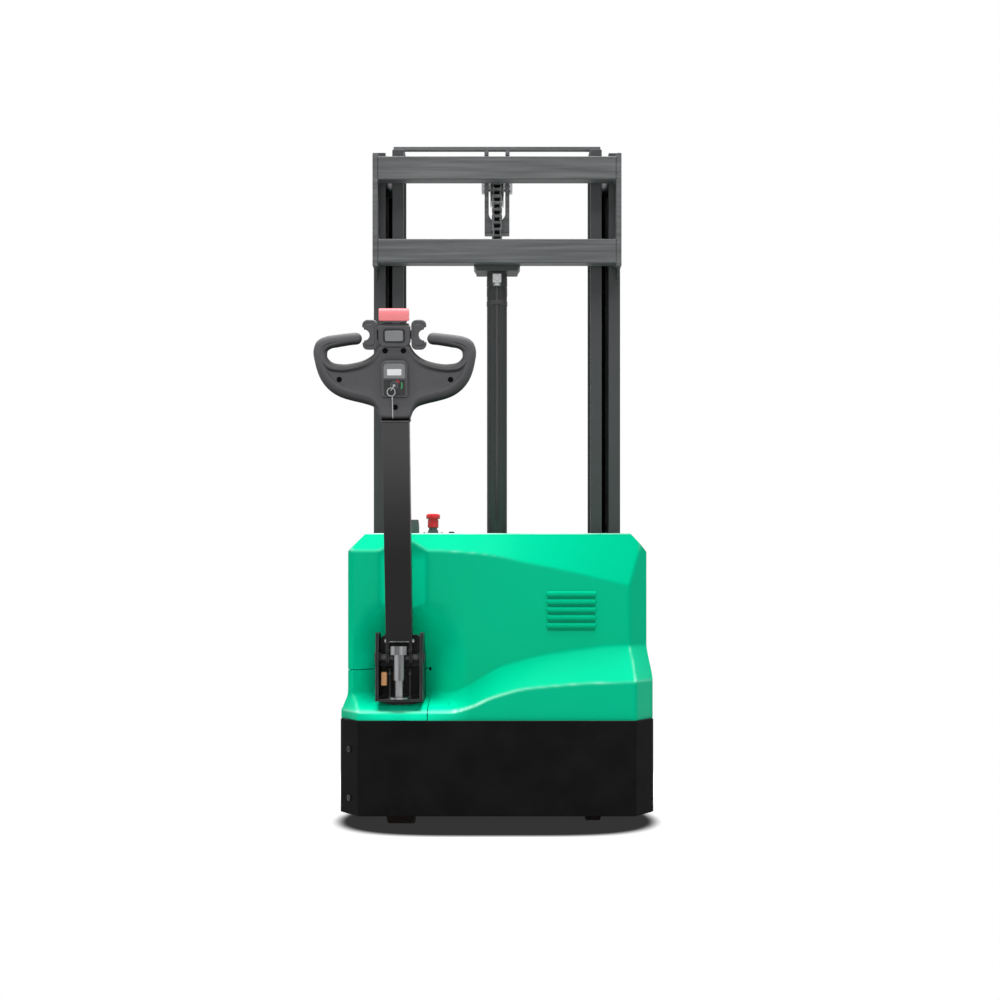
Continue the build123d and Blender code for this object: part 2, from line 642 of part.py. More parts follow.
def make_stop_switch():
    """Collar on the cover's top and the mushroom button that slides on it."""
    collar = upright(STOP_COLLAR_RADIUS, STOP_X, STOP_Y, COVER_TOP_Z, COVER_TOP_Z + STOP_COLLAR_HEIGHT)
    start = COVER_TOP_Z + STOP_SLEEVE_START
    head = start + STOP_SLEEVE_HEIGHT
    sleeve = upright(STOP_SLEEVE_RADIUS, STOP_X, STOP_Y, start, head)
    sleeve -= upright(STOP_COLLAR_RADIUS + RUNNING, STOP_X, STOP_Y, start, head)
    return collar, sleeve + upright(STOP_HEAD_RADIUS, STOP_X, STOP_Y, head, head + STOP_HEAD_HEIGHT)


def make_charger_socket():
    """Wedge-shaped box behind the tiller arm."""
    points = [
        (SOCKET_Y, COVER_TOP_Z),
        (SOCKET_Y + SOCKET_DEPTH, COVER_TOP_Z),
        (SOCKET_Y + SOCKET_DEPTH, COVER_TOP_Z + SOCKET_FRONT_HEIGHT),
        (SOCKET_Y, COVER_TOP_Z + SOCKET_HEIGHT),
    ]
    return side_profile(points, SOCKET_X, SOCKET_X + SOCKET_WIDTH)


def make_screws():
    """Screws and cap on the cover's top, and the two bolts on the skirt's left corner."""
    top = [
        upright(SCREW_RADIUS, STOP_X + side * SCREW_SPREAD, STOP_Y, COVER_TOP_Z, COVER_TOP_Z + SCREW_HEIGHT)
        for side in (-1, 1)
    ]
    top.append(upright(CAP_RADIUS, CAP_X, STOP_Y, COVER_TOP_Z, COVER_TOP_Z + CAP_HEIGHT))
    outward = Vector(-SKIRT_CORNER_DEPTH, -SKIRT_CORNER_WIDTH, 0).normalized()
    for level in SKIRT_BOLT_LEVELS:
        middle = Vector(-HALF_BODY + SKIRT_CORNER_WIDTH / 2, SKIRT_CORNER_DEPTH / 2, level)
        seat = Plane(origin=middle, z_dir=outward)
        top.append(extrude(seat * Circle(SKIRT_BOLT_RADIUS), amount=SKIRT_BOLT_HEIGHT))
    return top


def make_leg():
    """Right support leg: folded plate open below, with the load wheel's axle across its tip."""
    x0 = FORK_X - LEG_WIDTH / 2
    x1 = FORK_X + LEG_WIDTH / 2
    reach = LOAD_WHEEL_RADIUS + WHEEL_SIDE
    tip = LOAD_WHEEL_Y + reach + LEG_PLATE
    leg = block(x0, x1, BULKHEAD_FRONT_Y, tip, LEG_BOTTOM_Z, LEG_TOP_Z)
    leg -= block(x0 + LEG_PLATE, x1 - LEG_PLATE, BULKHEAD_FRONT_Y, tip - LEG_PLATE,
                 LEG_BOTTOM_Z, LEG_TOP_Z - LEG_PLATE)
    leg -= block(x0 + LEG_PLATE, x1 - LEG_PLATE, LOAD_WHEEL_Y - reach, LOAD_WHEEL_Y + reach,
                 LEG_BOTTOM_Z, LEG_TOP_Z)
    return leg + crosswise(LOAD_AXLE_RADIUS, x0, x1, LOAD_WHEEL_Y, LOAD_WHEEL_RADIUS)


def make_load_wheel():
    """Right load wheel."""
    half = LOAD_WHEEL_WIDTH / 2
    wheel = crosswise(LOAD_WHEEL_RADIUS, FORK_X - half, FORK_X + half, LOAD_WHEEL_Y, LOAD_WHEEL_RADIUS)
    return wheel - crosswise(LOAD_AXLE_RADIUS + RUNNING, FORK_X - half, FORK_X + half,
                             LOAD_WHEEL_Y, LOAD_WHEEL_RADIUS)


# Mast

def make_outer_channel():
    """Right outer channel, open inwards, with the pin of its top roller."""
    x0 = HALF_MAST - CHANNEL_WIDTH
    channel = block(x0, HALF_MAST, MAST_Y, MAST_FRONT_Y, MAST_BOTTOM_Z, MAST_TOP_Z)
    channel -= block(x0, HALF_MAST - CHANNEL_WEB, MAST_Y + CHANNEL_FLANGE, MAST_FRONT_Y - CHANNEL_FLANGE,
                     MAST_BOTTOM_Z, MAST_TOP_Z)
    pin_end = INNER_WEB_OUT + ROLLER_SIDE
    return channel + crosswise(ROLLER_PIN_RADIUS, pin_end, HALF_MAST - CHANNEL_WEB, ROLLER_Y, TOP_ROLLER_Z)


def make_inner_channel():
    """Right inner channel of I section, with the pin of its bottom roller."""
    channel = block(INNER_EDGE, HALF_INNER, MAST_Y, MAST_FRONT_Y, MAST_BOTTOM_Z, INNER_TOP_Z)
    for x0, x1 in ((INNER_EDGE, INNER_WEB_IN), (INNER_WEB_OUT, HALF_INNER)):
        channel -= block(x0, x1, MAST_Y + CHANNEL_FLANGE, MAST_FRONT_Y - CHANNEL_FLANGE,
                         MAST_BOTTOM_Z, INNER_TOP_Z)
    pin_end = HALF_MAST - CHANNEL_WEB - ROLLER_SIDE
    return channel + crosswise(ROLLER_PIN_RADIUS, INNER_WEB_OUT, pin_end, ROLLER_Y, BOTTOM_ROLLER_Z)


def make_roller(x0, x1, z):
    """Roller round its pin between two x."""
    roller = crosswise(ROLLER_RADIUS, x0, x1, ROLLER_Y, z)
    return roller - crosswise(ROLLER_PIN_RADIUS + RUNNING, x0, x1, ROLLER_Y, z)


def box_beam(x1, y0, y1, z0, z1):
    """Rectangular tube across the mast, open at its ends."""
    tube = block(-x1, x1, y0, y1, z0, z1)
    return tube - block(-x1, x1, y0 + BEAM_WALL, y1 - BEAM_WALL, z0 + BEAM_WALL, z1 - BEAM_WALL)


def make_cross_beam(z, height):
    """Box beam between the side plates, behind the channels."""
    y = MAST_Y - SIDE_PLATE_DEPTH
    return box_beam(HALF_MAST - SIDE_PLATE, y, y + BEAM_DEPTH, z, z + height)


def make_side_plates():
    """Plates that join the cross beams to the outer channels."""
    plate = block(HALF_MAST - SIDE_PLATE, HALF_MAST, MAST_Y - SIDE_PLATE_DEPTH, MAST_Y,
                  SIDE_PLATE_BOTTOM_Z, SIDE_PLATE_TOP_Z)
    return both_sides(plate)


def make_mast_base():
    """Lower frame of the outer mast: side plates, base beam with the cylinder's foot, chain anchor."""
    y = MAST_Y - SIDE_PLATE_DEPTH
    inside = HALF_MAST - SIDE_PLATE
    frame = block(-inside, inside, y, y + BEAM_DEPTH, BASE_BEAM_Z, BASE_BEAM_Z + BASE_BEAM_HEIGHT)
    frame += block(-inside, inside, y, y + BEAM_DEPTH, ANCHOR_BEAM_Z, ANCHOR_TOP_Z)
    for plate in both_sides(block(inside, HALF_MAST, y, MAST_Y, MAST_BOTTOM_Z, BASE_PLATE_TOP_Z)):
        frame += plate
    foot_half = BARREL_RADIUS + FOOT_PLATE
    frame += block(-foot_half, foot_half, y + BEAM_DEPTH, CYLINDER_Y + foot_half,
                   BASE_BEAM_Z, BASE_BEAM_Z + FOOT_PLATE)
    frame += block(-ANCHOR_HALF_WIDTH, ANCHOR_HALF_WIDTH, y + BEAM_DEPTH, CHAIN_REAR_Y + CHAIN_DEPTH,
                   ANCHOR_TOP_Z - ANCHOR_PLATE, ANCHOR_TOP_Z)
    return frame - upright(BARREL_RADIUS + SLIDING, 0, CYLINDER_Y, BASE_BEAM_Z + FOOT_PLATE, GLAND_TOP_Z)


def make_barrel():
    """Lift barrel with its gland at the top."""
    foot = BASE_BEAM_Z + FOOT_PLATE
    barrel = upright(BARREL_RADIUS, 0, CYLINDER_Y, foot, GLAND_TOP_Z)
    barrel -= upright(BARREL_BORE, 0, CYLINDER_Y, foot + BARREL_FLOOR, GLAND_TOP_Z - GLAND_HEIGHT)
    return barrel - upright(ROD_RADIUS + RUNNING, 0, CYLINDER_Y, foot + BARREL_FLOOR, GLAND_TOP_Z)


def make_rod():
    """Lift rod with its piston, up to the push beam."""
    rod = upright(ROD_RADIUS, 0, CYLINDER_Y, ROD_BOTTOM_Z, PUSH_BEAM_Z)
    return rod + upright(BARREL_BORE - RUNNING, 0, CYLINDER_Y, ROD_BOTTOM_Z, ROD_BOTTOM_Z + PISTON_HEIGHT)


def make_head_bracket():
    """Bracket under the lower beam that holds the barrel's head."""
    half = HEAD_BRACKET_WIDTH / 2
    y0 = MAST_Y - SIDE_PLATE_DEPTH + BEAM_DEPTH - HEAD_BRACKET_LAP
    y1 = CYLINDER_Y + BARREL_RADIUS + FOOT_PLATE / 2
    bracket = block(-half, half, y0, y1, LOWER_BEAM_Z - HEAD_BRACKET_HEIGHT, LOWER_BEAM_Z)
    return bracket - upright(BARREL_RADIUS, 0, CYLINDER_Y, MAST_BOTTOM_Z, LOWER_BEAM_Z)


def make_bleed_line():
    """Port fitting on the barrel, the thin pipe below it and the clip that holds the pipe."""
    rear = CYLINDER_Y - BARREL_RADIUS
    pipe_y = rear - PIPE_RADIUS - CLIP_THICKNESS
    port = block(-PORT_RADIUS, PORT_RADIUS, pipe_y - PORT_RADIUS, CYLINDER_Y,
                 PORT_Z - PORT_LENGTH, PORT_Z + PORT_LENGTH)
    clip = block(-PORT_RADIUS, PORT_RADIUS, pipe_y, CYLINDER_Y, CLIP_Z, CLIP_Z + CLIP_HEIGHT)
    barrel = upright(BARREL_RADIUS, 0, CYLINDER_Y, MAST_BOTTOM_Z, GLAND_TOP_Z)
    line = port + clip + upright(PIPE_RADIUS, 0, pipe_y, PIPE_BOTTOM_Z, PORT_Z)
    foot = block(-PIPE_RADIUS, PIPE_RADIUS, pipe_y, CYLINDER_Y, PIPE_BOTTOM_Z, PIPE_BOTTOM_Z + CLIP_HEIGHT)
    return line + foot - barrel


def make_top_beam():
    """Top beam on the inner channels, carrying the pulley bracket."""
    return block(-HALF_INNER, HALF_INNER, MAST_Y + TOP_BEAM_REAR, MAST_FRONT_Y,
                 INNER_TOP_Z, INNER_TOP_Z + TOP_BEAM_HEIGHT)


def make_push_beam():
    """Beam that the rod lifts, welded between the inner channels' rear flanges."""
    z1 = PUSH_BEAM_Z + PUSH_BEAM_HEIGHT
    beam = block(-CARRIAGE_OUT, CARRIAGE_OUT, MAST_Y, MAST_Y + PUSH_BEAM_DEPTH, PUSH_BEAM_Z, z1)
    return beam + block(-INNER_EDGE, INNER_EDGE, MAST_Y, MAST_Y + PUSH_TAB_DEPTH, PUSH_BEAM_Z, z1)


def make_bottom_beam():
    """Bottom beam of the inner mast, in front of the cylinder and the chain."""
    y0 = MAST_FRONT_Y - BOTTOM_BEAM_DEPTH
    z1 = BOTTOM_BEAM_Z + BOTTOM_BEAM_HEIGHT
    beam = block(-INNER_EDGE, INNER_EDGE, y0, MAST_FRONT_Y, BOTTOM_BEAM_Z, z1)
    return beam + block(-INNER_WEB_IN, INNER_WEB_IN, y0, MAST_FRONT_Y - CHANNEL_FLANGE, BOTTOM_BEAM_Z, z1)


def make_pulley_bracket():
    """Fork that hangs from the top beam and holds the chain wheel's axle."""
    half = PULLEY_BRACKET_WIDTH / 2
    y0 = WHEEL_Y - PULLEY_BRACKET_DEPTH / 2
    y1 = WHEEL_Y + PULLEY_BRACKET_DEPTH / 2
    bracket = block(-half, half, y0, y1, PULLEY_BRACKET_BOTTOM_Z, INNER_TOP_Z)
    inside = half - PULLEY_ARM
    window = block(-inside, inside, y0, y1, PULLEY_BRACKET_BOTTOM_Z + PULLEY_WEB_HEIGHT + inside, INNER_TOP_Z)
    low = Pos(0, WHEEL_Y, PULLEY_BRACKET_BOTTOM_Z + PULLEY_WEB_HEIGHT + inside) * Rot(90, 0, 0)
    bracket = bracket - window - low * Cylinder(inside, PULLEY_BRACKET_DEPTH)
    return bracket - crosswise(PULLEY_AXLE_RADIUS, -half, half, WHEEL_Y, CHAIN_WHEEL_Z)


def make_pulley_axle():
    """Axle through the bracket's arms, with a nut on each end."""
    half = PULLEY_BRACKET_WIDTH / 2
    axle = crosswise(PULLEY_AXLE_RADIUS, -half - PULLEY_NUT, half + PULLEY_NUT, WHEEL_Y, CHAIN_WHEEL_Z)
    for x0, x1 in ((-half - PULLEY_NUT, -half), (half, half + PULLEY_NUT)):
        axle += crosswise(PULLEY_NUT_RADIUS, x0, x1, WHEEL_Y, CHAIN_WHEEL_Z)
    return axle


def make_chain_wheel():
    """Chain wheel with a flange on each side of the chain."""
    half = CHAIN_WIDTH / 2 + SLIDING
    root = CHAIN_PITCH_RADIUS - CHAIN_DEPTH / 2 - SLIDING
    rim = CHAIN_PITCH_RADIUS + CHAIN_DEPTH / 2 + WHEEL_RIM
    wheel = crosswise(root, -half, half, WHEEL_Y, CHAIN_WHEEL_Z)
    for x0, x1 in ((-half - WHEEL_FLANGE, -half), (half, half + WHEEL_FLANGE)):
        wheel += crosswise(rim, x0, x1, WHEEL_Y, CHAIN_WHEEL_Z)
    return wheel - crosswise(PULLEY_AXLE_RADIUS + RUNNING, -half - WHEEL_FLANGE, half + WHEEL_FLANGE,
                             WHEEL_Y, CHAIN_WHEEL_Z)


def make_chain():
    """Chain in three stretches: fixed leg, half turn over the wheel, leg to the carriage."""
    half = CHAIN_WIDTH / 2
    deep = CHAIN_DEPTH / 2
    fixed = block(-half, half, CHAIN_REAR_Y - deep, CHAIN_REAR_Y + deep, ANCHOR_TOP_Z, CHAIN_WHEEL_Z)
    lifting = block(-half, half, CHAIN_FRONT_Y - deep, CHAIN_FRONT_Y + deep,
                    UPPER_BAR_Z + UPPER_BAR_HEIGHT, CHAIN_WHEEL_Z)
    wrap = crosswise(CHAIN_PITCH_RADIUS + deep, -half, half, WHEEL_Y, CHAIN_WHEEL_Z)
    wrap -= crosswise(CHAIN_PITCH_RADIUS - deep, -half, half, WHEEL_Y, CHAIN_WHEEL_Z)
    wrap -= block(-half, half, WHEEL_Y - 2 * CHAIN_PITCH_RADIUS, WHEEL_Y + 2 * CHAIN_PITCH_RADIUS,
                  CHAIN_WHEEL_Z - 2 * CHAIN_PITCH_RADIUS, CHAIN_WHEEL_Z)
    return fixed, wrap, lifting


# Carriage and forks

def make_carriage():
    """Fork carriage: side plates with roller pins, joined by two cross bars."""
    bar_y = CARRIAGE_FRONT_Y - CARRIAGE_BAR_DEPTH
    side = block(CARRIAGE_IN, CARRIAGE_OUT, CARRIAGE_REAR_Y, CARRIAGE_FRONT_Y,
                 CARRIAGE_BOTTOM_Z, CARRIAGE_TOP_Z)
    for z in (LOWER_ROLLER_Z, UPPER_ROLLER_Z):
        side += crosswise(ROLLER_PIN_RADIUS, CARRIAGE_OUT, INNER_WEB_IN - ROLLER_SIDE, ROLLER_Y, z)
    right, left = both_sides(side)
    frame = right + left
    for z, height in ((LOWER_BAR_Z, LOWER_BAR_HEIGHT), (UPPER_BAR_Z, UPPER_BAR_HEIGHT)):
        frame += block(-CARRIAGE_IN, CARRIAGE_IN, bar_y, CARRIAGE_FRONT_Y, z, z + height)
    return frame


def make_fork():
    """Right fork: folded plate over the leg, narrowed at its tip, with the shank on the carriage."""
    half = FORK_WIDTH / 2
    tip_half = FORK_TIP_WIDTH / 2
    y0 = CARRIAGE_FRONT_Y
    y1 = y0 + FORK_LENGTH

    def plan(inset):
        """Outline from above, drawn in by the plate's thickness."""
        return [
            (FORK_X - half + inset, y0),
            (FORK_X + half - inset, y0),
            (FORK_X + half - inset, y1 - FORK_TIP),
            (FORK_X + tip_half - inset, y1 - inset),
            (FORK_X - tip_half + inset, y1 - inset),
            (FORK_X - half + inset, y1 - FORK_TIP),
        ]

    fork = plan_profile(plan(0), FORK_BOTTOM_Z, FORK_TOP_Z)
    fork -= plan_profile(plan(FORK_PLATE), FORK_BOTTOM_Z, FORK_TOP_Z - FORK_PLATE)
    return fork + block(FORK_X - half, FORK_X + half, y0, y0 + SHANK_THICKNESS,
                        FORK_TOP_Z - FORK_PLATE, SHANK_TOP_Z)


# Drive unit and castor

def make_drive_yoke():
    """Turntable under the deck, its neck through the deck and the arm that holds the wheel's axle."""
    yoke = upright(NECK_RADIUS, STEER_X, STEER_Y, DECK_BOTTOM_Z - TURNTABLE_PLATE, NECK_TOP_Z)
    top = DECK_BOTTOM_Z - SLIDING
    yoke += upright(TURNTABLE_RADIUS, STEER_X, STEER_Y, top - TURNTABLE_PLATE, top)
    arm_x = STEER_X + DRIVE_WHEEL_WIDTH / 2 + WHEEL_SIDE
    yoke += block(arm_x, arm_x + YOKE_ARM, STEER_Y - YOKE_DEPTH / 2, STEER_Y + YOKE_DEPTH / 2,
                  DRIVE_WHEEL_RADIUS, top)
    yoke += crosswise(YOKE_DEPTH / 2, arm_x, arm_x + YOKE_ARM, STEER_Y, DRIVE_WHEEL_RADIUS)
    return yoke + crosswise(DRIVE_AXLE_RADIUS, STEER_X - DRIVE_WHEEL_WIDTH / 2, arm_x,
                            STEER_Y, DRIVE_WHEEL_RADIUS)


def make_drive_motor():
    """Flat hub motor on the outside of the yoke's arm."""
    x0 = STEER_X + DRIVE_WHEEL_WIDTH / 2 + WHEEL_SIDE + YOKE_ARM
    return crosswise(MOTOR_RADIUS, x0, x0 + MOTOR_LENGTH, STEER_Y, DRIVE_WHEEL_RADIUS)


def make_drive_wheel():
    """Drive wheel with rounded tyre shoulders, bored for its axle."""
    half = DRIVE_WHEEL_WIDTH / 2
    wheel = crosswise(DRIVE_WHEEL_RADIUS, STEER_X - half, STEER_X + half, STEER_Y, DRIVE_WHEEL_RADIUS)
    wheel = chamfer(wheel.edges().filter_by(GeomType.CIRCLE), TYRE_EDGE)
    return wheel - crosswise(DRIVE_AXLE_RADIUS + RUNNING, STEER_X - half, STEER_X + half,
                             STEER_Y, DRIVE_WHEEL_RADIUS)


def make_castor_fork():
    """Castor head with its stem in the deck, crown, two plates and the wheel's axle."""
    top = DECK_BOTTOM_Z - SLIDING
    inside = CASTOR_WIDTH / 2 + WHEEL_SIDE
    outside = inside + CASTOR_FORK_PLATE
    axle_y = CASTOR_Y + CASTOR_TRAIL
    crown_top = 2 * CASTOR_RADIUS + WHEEL_SIDE + CASTOR_CROWN
    fork = upright(CASTOR_STEM_RADIUS, CASTOR_X, CASTOR_Y, crown_top, DECK_TOP_Z)
    fork += upright(CASTOR_HEAD_RADIUS, CASTOR_X, CASTOR_Y, crown_top, top)
    deep = CASTOR_FORK_DEPTH / 2
    fork += block(CASTOR_X - outside, CASTOR_X + outside, CASTOR_Y - deep, axle_y + deep,
                  crown_top - CASTOR_CROWN, crown_top)
    for x0 in (CASTOR_X - outside, CASTOR_X + inside):
        fork += block(x0, x0 + CASTOR_FORK_PLATE, axle_y - deep, axle_y + deep, CASTOR_RADIUS, crown_top)
        fork += crosswise(deep, x0, x0 + CASTOR_FORK_PLATE, axle_y, CASTOR_RADIUS)
    return fork + crosswise(CASTOR_AXLE_RADIUS, CASTOR_X - outside, CASTOR_X + outside, axle_y, CASTOR_RADIUS)


def make_castor_wheel():
    """Castor wheel."""
    half = CASTOR_WIDTH / 2
    y = CASTOR_Y + CASTOR_TRAIL
    wheel = crosswise(CASTOR_RADIUS, CASTOR_X - half, CASTOR_X + half, y, CASTOR_RADIUS)
    return wheel - crosswise(CASTOR_AXLE_RADIUS + RUNNING, CASTOR_X - half, CASTOR_X + half, y, CASTOR_RADIUS)


# Tiller bracket and gas spring

def eye_place():
    """Place (y, z) of the gas spring's upper pin at rest."""
    angle = radians(EYE_ANGLE)
    return PIVOT_Y - EYE_LEVER * cos(angle), PIVOT_Z + EYE_LEVER * sin(angle)


def make_tiller_bracket():
    """Steel U on the neck: base plate, two side plates with the pivot's holes and a back plate."""
    half = BRACKET_WIDTH / 2
    x0 = STEER_X - half
    x1 = STEER_X + half
    outline = [
        (BRACKET_REAR_Y, NECK_TOP_Z),
        (BRACKET_FRONT_Y, NECK_TOP_Z),
        (BRACKET_FRONT_Y, BRACKET_BACK_TOP_Z),
        (BRACKET_TOP_FRONT_Y, BRACKET_TOP_Z),
        (BRACKET_TOP_REAR_Y, BRACKET_TOP_Z),
        (BRACKET_REAR_Y, PIVOT_Z),
    ]
    bracket = block(x0, x1, BRACKET_REAR_Y, BRACKET_FRONT_Y, NECK_TOP_Z, NECK_TOP_Z + BRACKET_BASE_PLATE)
    bracket += side_profile(outline, x0, x0 + BRACKET_PLATE)
    bracket += side_profile(outline, x1 - BRACKET_PLATE, x1)
    bracket += block(x0, x1, BRACKET_FRONT_Y - BRACKET_PLATE, BRACKET_FRONT_Y, NECK_TOP_Z, BRACKET_BACK_TOP_Z)
    return bracket - crosswise(PIVOT_RADIUS, x0, x1, PIVOT_Y, PIVOT_Z)


def make_pivot_pin():
    """Pin across the bracket that the tiller tilts on."""
    half = BRACKET_WIDTH / 2
    return crosswise(PIVOT_RADIUS, STEER_X - half, STEER_X + half, PIVOT_Y, PIVOT_Z)


def make_spring_tube():
    """Fixed lower tube of the gas spring on its round foot."""
    y, z = eye_place()
    base = NECK_TOP_Z + BRACKET_BASE_PLATE
    top = z - EYE_PIN_RADIUS - EYE_GAP - EYE_WALL - SLEEVE_WALL_TOP - SLEEVE_TRAVEL - SLEEVE_END_GAP
    foot = upright(SPRING_FOOT_RADIUS, STEER_X, y, base, base + SPRING_FOOT_HEIGHT)
    return foot + upright(SPRING_TUBE_RADIUS, STEER_X, y, base, top)


def make_spring_sleeve():
    """Sliding upper sleeve of the gas spring, with a slotted eye round the tiller's pin."""
    y, z = eye_place()
    slot = EYE_PIN_RADIUS + EYE_GAP
    reach = EYE_SLOT_HALF + slot
    top = z - slot - EYE_WALL
    low = NECK_TOP_Z + BRACKET_BASE_PLATE + SPRING_FOOT_HEIGHT + SLEEVE_TRAVEL + SLEEVE_END_GAP
    sleeve = upright(SLEEVE_RADIUS, STEER_X, y, low, top)
    sleeve -= upright(SPRING_TUBE_RADIUS + RUNNING, STEER_X, y, low, top - SLEEVE_WALL_TOP)
    half = EYE_WIDTH / 2
    front = y + slot + EYE_GAP
    eye = block(STEER_X - half, STEER_X + half, y - reach - EYE_WALL, front, top, z + slot + EYE_WALL)
    eye -= block(STEER_X - half, STEER_X + half, y - reach, front, z - slot, z + slot)
    return sleeve + eye


# Tiller, modelled upright about its pivot and then leaned back: X across, Z along the arm

def lean(shape):
    """Put a piece of the upright tiller in its place, leaning towards the operator."""
    return Pos(STEER_X, PIVOT_Y, PIVOT_Z) * Rot(TILLER_LEAN, 0, 0) * shape


def make_arm():
    """Box-section arm with two lugs on the pivot pin and the pin for the gas spring's eye."""
    half = ARM_WIDTH / 2
    deep = ARM_DEPTH / 2
    end = ARM_START + ARM_LENGTH
    arm = block(-half, half, -deep, deep, ARM_START, end)
    arm -= block(-half + ARM_WALL, half - ARM_WALL, -deep + ARM_WALL, deep - ARM_WALL,
                 ARM_START + ARM_WALL, end)
    angle = radians(EYE_ANGLE + TILLER_LEAN)
    eye_y = -EYE_LEVER * cos(angle)
    eye_z = EYE_LEVER * sin(angle)
    for x0 in (-half, half - LUG_PLATE):
        arm += block(x0, x0 + LUG_PLATE, -deep, deep, 0, ARM_START)
        arm += crosswise(LUG_RADIUS, x0, x0 + LUG_PLATE, 0, 0)
        arm += crosswise(LUG_RADIUS / 2, x0, x0 + LUG_PLATE, eye_y, eye_z)
        arm += block(x0, x0 + LUG_PLATE, eye_y, 0, eye_z - LUG_RADIUS / 2, eye_z + LUG_RADIUS / 2)
    arm -= crosswise(PIVOT_RADIUS + RUNNING, -half, half, 0, 0)
    return lean(arm + crosswise(EYE_PIN_RADIUS, -half, half, eye_y, eye_z))


def head_outline():
    """Right half of the head's outline: wing, grip bar with its free end, finger gap and neck."""
    z = HEAD_START
    outer = HEAD_HALF_WIDTH
    grip_top = z + GRIP_END_RISE
    grip_low = grip_top - GRIP_THICKNESS
    bottom = z + LOOP_BOTTOM_RISE
    outside_top = grip_top - GRIP_SLOPE
    shoulder = outer - GRIP_SHOULDER
    inner = outer - GAP_END
    middle = (bottom + grip_low - GRIP_SLOPE) / 2
    wing = Spline(
        (NECK_FOOT_HALF, 0, z),
        *[(outer - inset, 0, z + rise) for inset, rise in WING_POINTS],
        (shoulder, 0, outside_top),
        tangents=[(0, 0, 1), (-1, 0, GRIP_SLOPE / (shoulder - GRIP_END_X))],
    )
    grip = Polyline(
        (shoulder, 0, outside_top),
        (GRIP_END_X, 0, grip_top),
        (GRIP_END_X, 0, grip_low),
        (shoulder, 0, grip_low - GRIP_SLOPE),
    )
    hollow = ThreePointArc((shoulder, 0, grip_low - GRIP_SLOPE), (inner, 0, middle), (shoulder, 0, bottom))
    neck = Polyline((shoulder, 0, bottom), (NECK_HALF, 0, bottom), (NECK_HALF, 0, z + HEAD_HEIGHT),
                    (0, 0, z + HEAD_HEIGHT), (0, 0, z), (NECK_FOOT_HALF, 0, z))
    return [wing, *grip.edges(), hollow, *neck.edges()]


def make_head():
    """Tiller head: plate with two looped grips, bored for the switch shaft and the buttons."""
    half = extrude(make_face(head_outline()), amount=HEAD_THICKNESS / 2, dir=(0, 1, 0), both=True)
    head = half + mirror(half, about=Plane.YZ)
    front = -HEAD_THICKNESS / 2
    top = HEAD_START + HEAD_HEIGHT
    head -= crosswise(SWITCH_SHAFT_RADIUS + RUNNING, -NECK_HALF, NECK_HALF, 0, HEAD_START + SWITCH_SHAFT_RISE)
    for x in (-BELLY_STEM_X, BELLY_STEM_X):
        head -= upright(BELLY_STEM_RADIUS + RUNNING, x, 0, top - BELLY_STEM - BELLY_TRAVEL - HORN_GAP, top)
    horn_x = HORN_WIDTH / 2 + HORN_GAP
    horn_z = HEAD_START + HORN_RISE
    horn_deep = HORN_SEAT + HORN_TRAVEL + HORN_GAP
    head -= block(-horn_x, horn_x, front, front + horn_deep,
                  horn_z - HORN_HEIGHT / 2 - HORN_GAP, horn_z + HORN_HEIGHT / 2 + HORN_GAP)
    return lean(head)


def make_panel():
    """Control panel on the head's face, with the key lock."""
    face = -HEAD_THICKNESS / 2
    z0 = HEAD_START + PANEL_BOTTOM_RISE
    panel = block(-PANEL_WIDTH / 2, PANEL_WIDTH / 2, face - PANEL_THICKNESS, face, z0, z0 + PANEL_HEIGHT)
    lock = Pos(0, face - PANEL_THICKNESS - LOCK_HEIGHT / 2, HEAD_START + LOCK_RISE) * Rot(90, 0, 0)
    return lean(panel + lock * Cylinder(LOCK_RADIUS, LOCK_HEIGHT))


def make_key():
    """Key in the lock, its ring and the spare key that hangs from it."""
    face = -HEAD_THICKNESS / 2 - PANEL_THICKNESS - LOCK_HEIGHT - KEY_GAP
    z = HEAD_START + LOCK_RISE
    stem = Pos(0, face - KEY_STEM / 2, z) * Rot(90, 0, 0) * Cylinder(KEY_STEM_RADIUS, KEY_STEM)
    bow_y = face - KEY_STEM - KEY_BOW_RADIUS / 2
    bow = Pos(0, bow_y, z) * Rot(0, 90, 0) * Cylinder(KEY_BOW_RADIUS, KEY_PLATE)
    bow -= block(-KEY_PLATE, KEY_PLATE, face, 0, z - KEY_BOW_RADIUS, z + KEY_BOW_RADIUS)
    ring_z = z - KEY_BOW_RADIUS
    ring = Pos(0, bow_y, ring_z) * Rot(90, 0, 0) * Torus(KEY_RING_RADIUS, KEY_RING_WIRE)
    low = ring_z - KEY_RING_RADIUS
    spare = block(-SPARE_KEY_WIDTH / 2, SPARE_KEY_WIDTH / 2, bow_y - KEY_PLATE / 2, bow_y + KEY_PLATE / 2,
                  low - SPARE_KEY_LENGTH, low)
    return lean(stem + bow + ring + spare)


def make_thumb_switches():
    """Both thumb switches on one shaft through the neck."""
    z = HEAD_START + SWITCH_SHAFT_RISE
    x0 = NECK_HALF + WHEEL_SIDE
    x1 = x0 + SWITCH_WIDTH
    shaft = crosswise(SWITCH_SHAFT_RADIUS, -x0, x0, 0, z)
    deep = SWITCH_THICKNESS / 2
    rocker = block(x0, x1, -deep, deep, z - SWITCH_HEIGHT / 2, z + SWITCH_HEIGHT / 2)
    rocker -= block(x1 - SWITCH_NOTCH_DEPTH, x1, -deep, deep,
                    z - SWITCH_NOTCH_HEIGHT / 2, z + SWITCH_NOTCH_HEIGHT / 2)
    rocker = fillet(rocker.edges().filter_by(Axis.X), deep / 2)
    return lean(shaft + rocker + mirror(rocker, about=Plane.YZ))


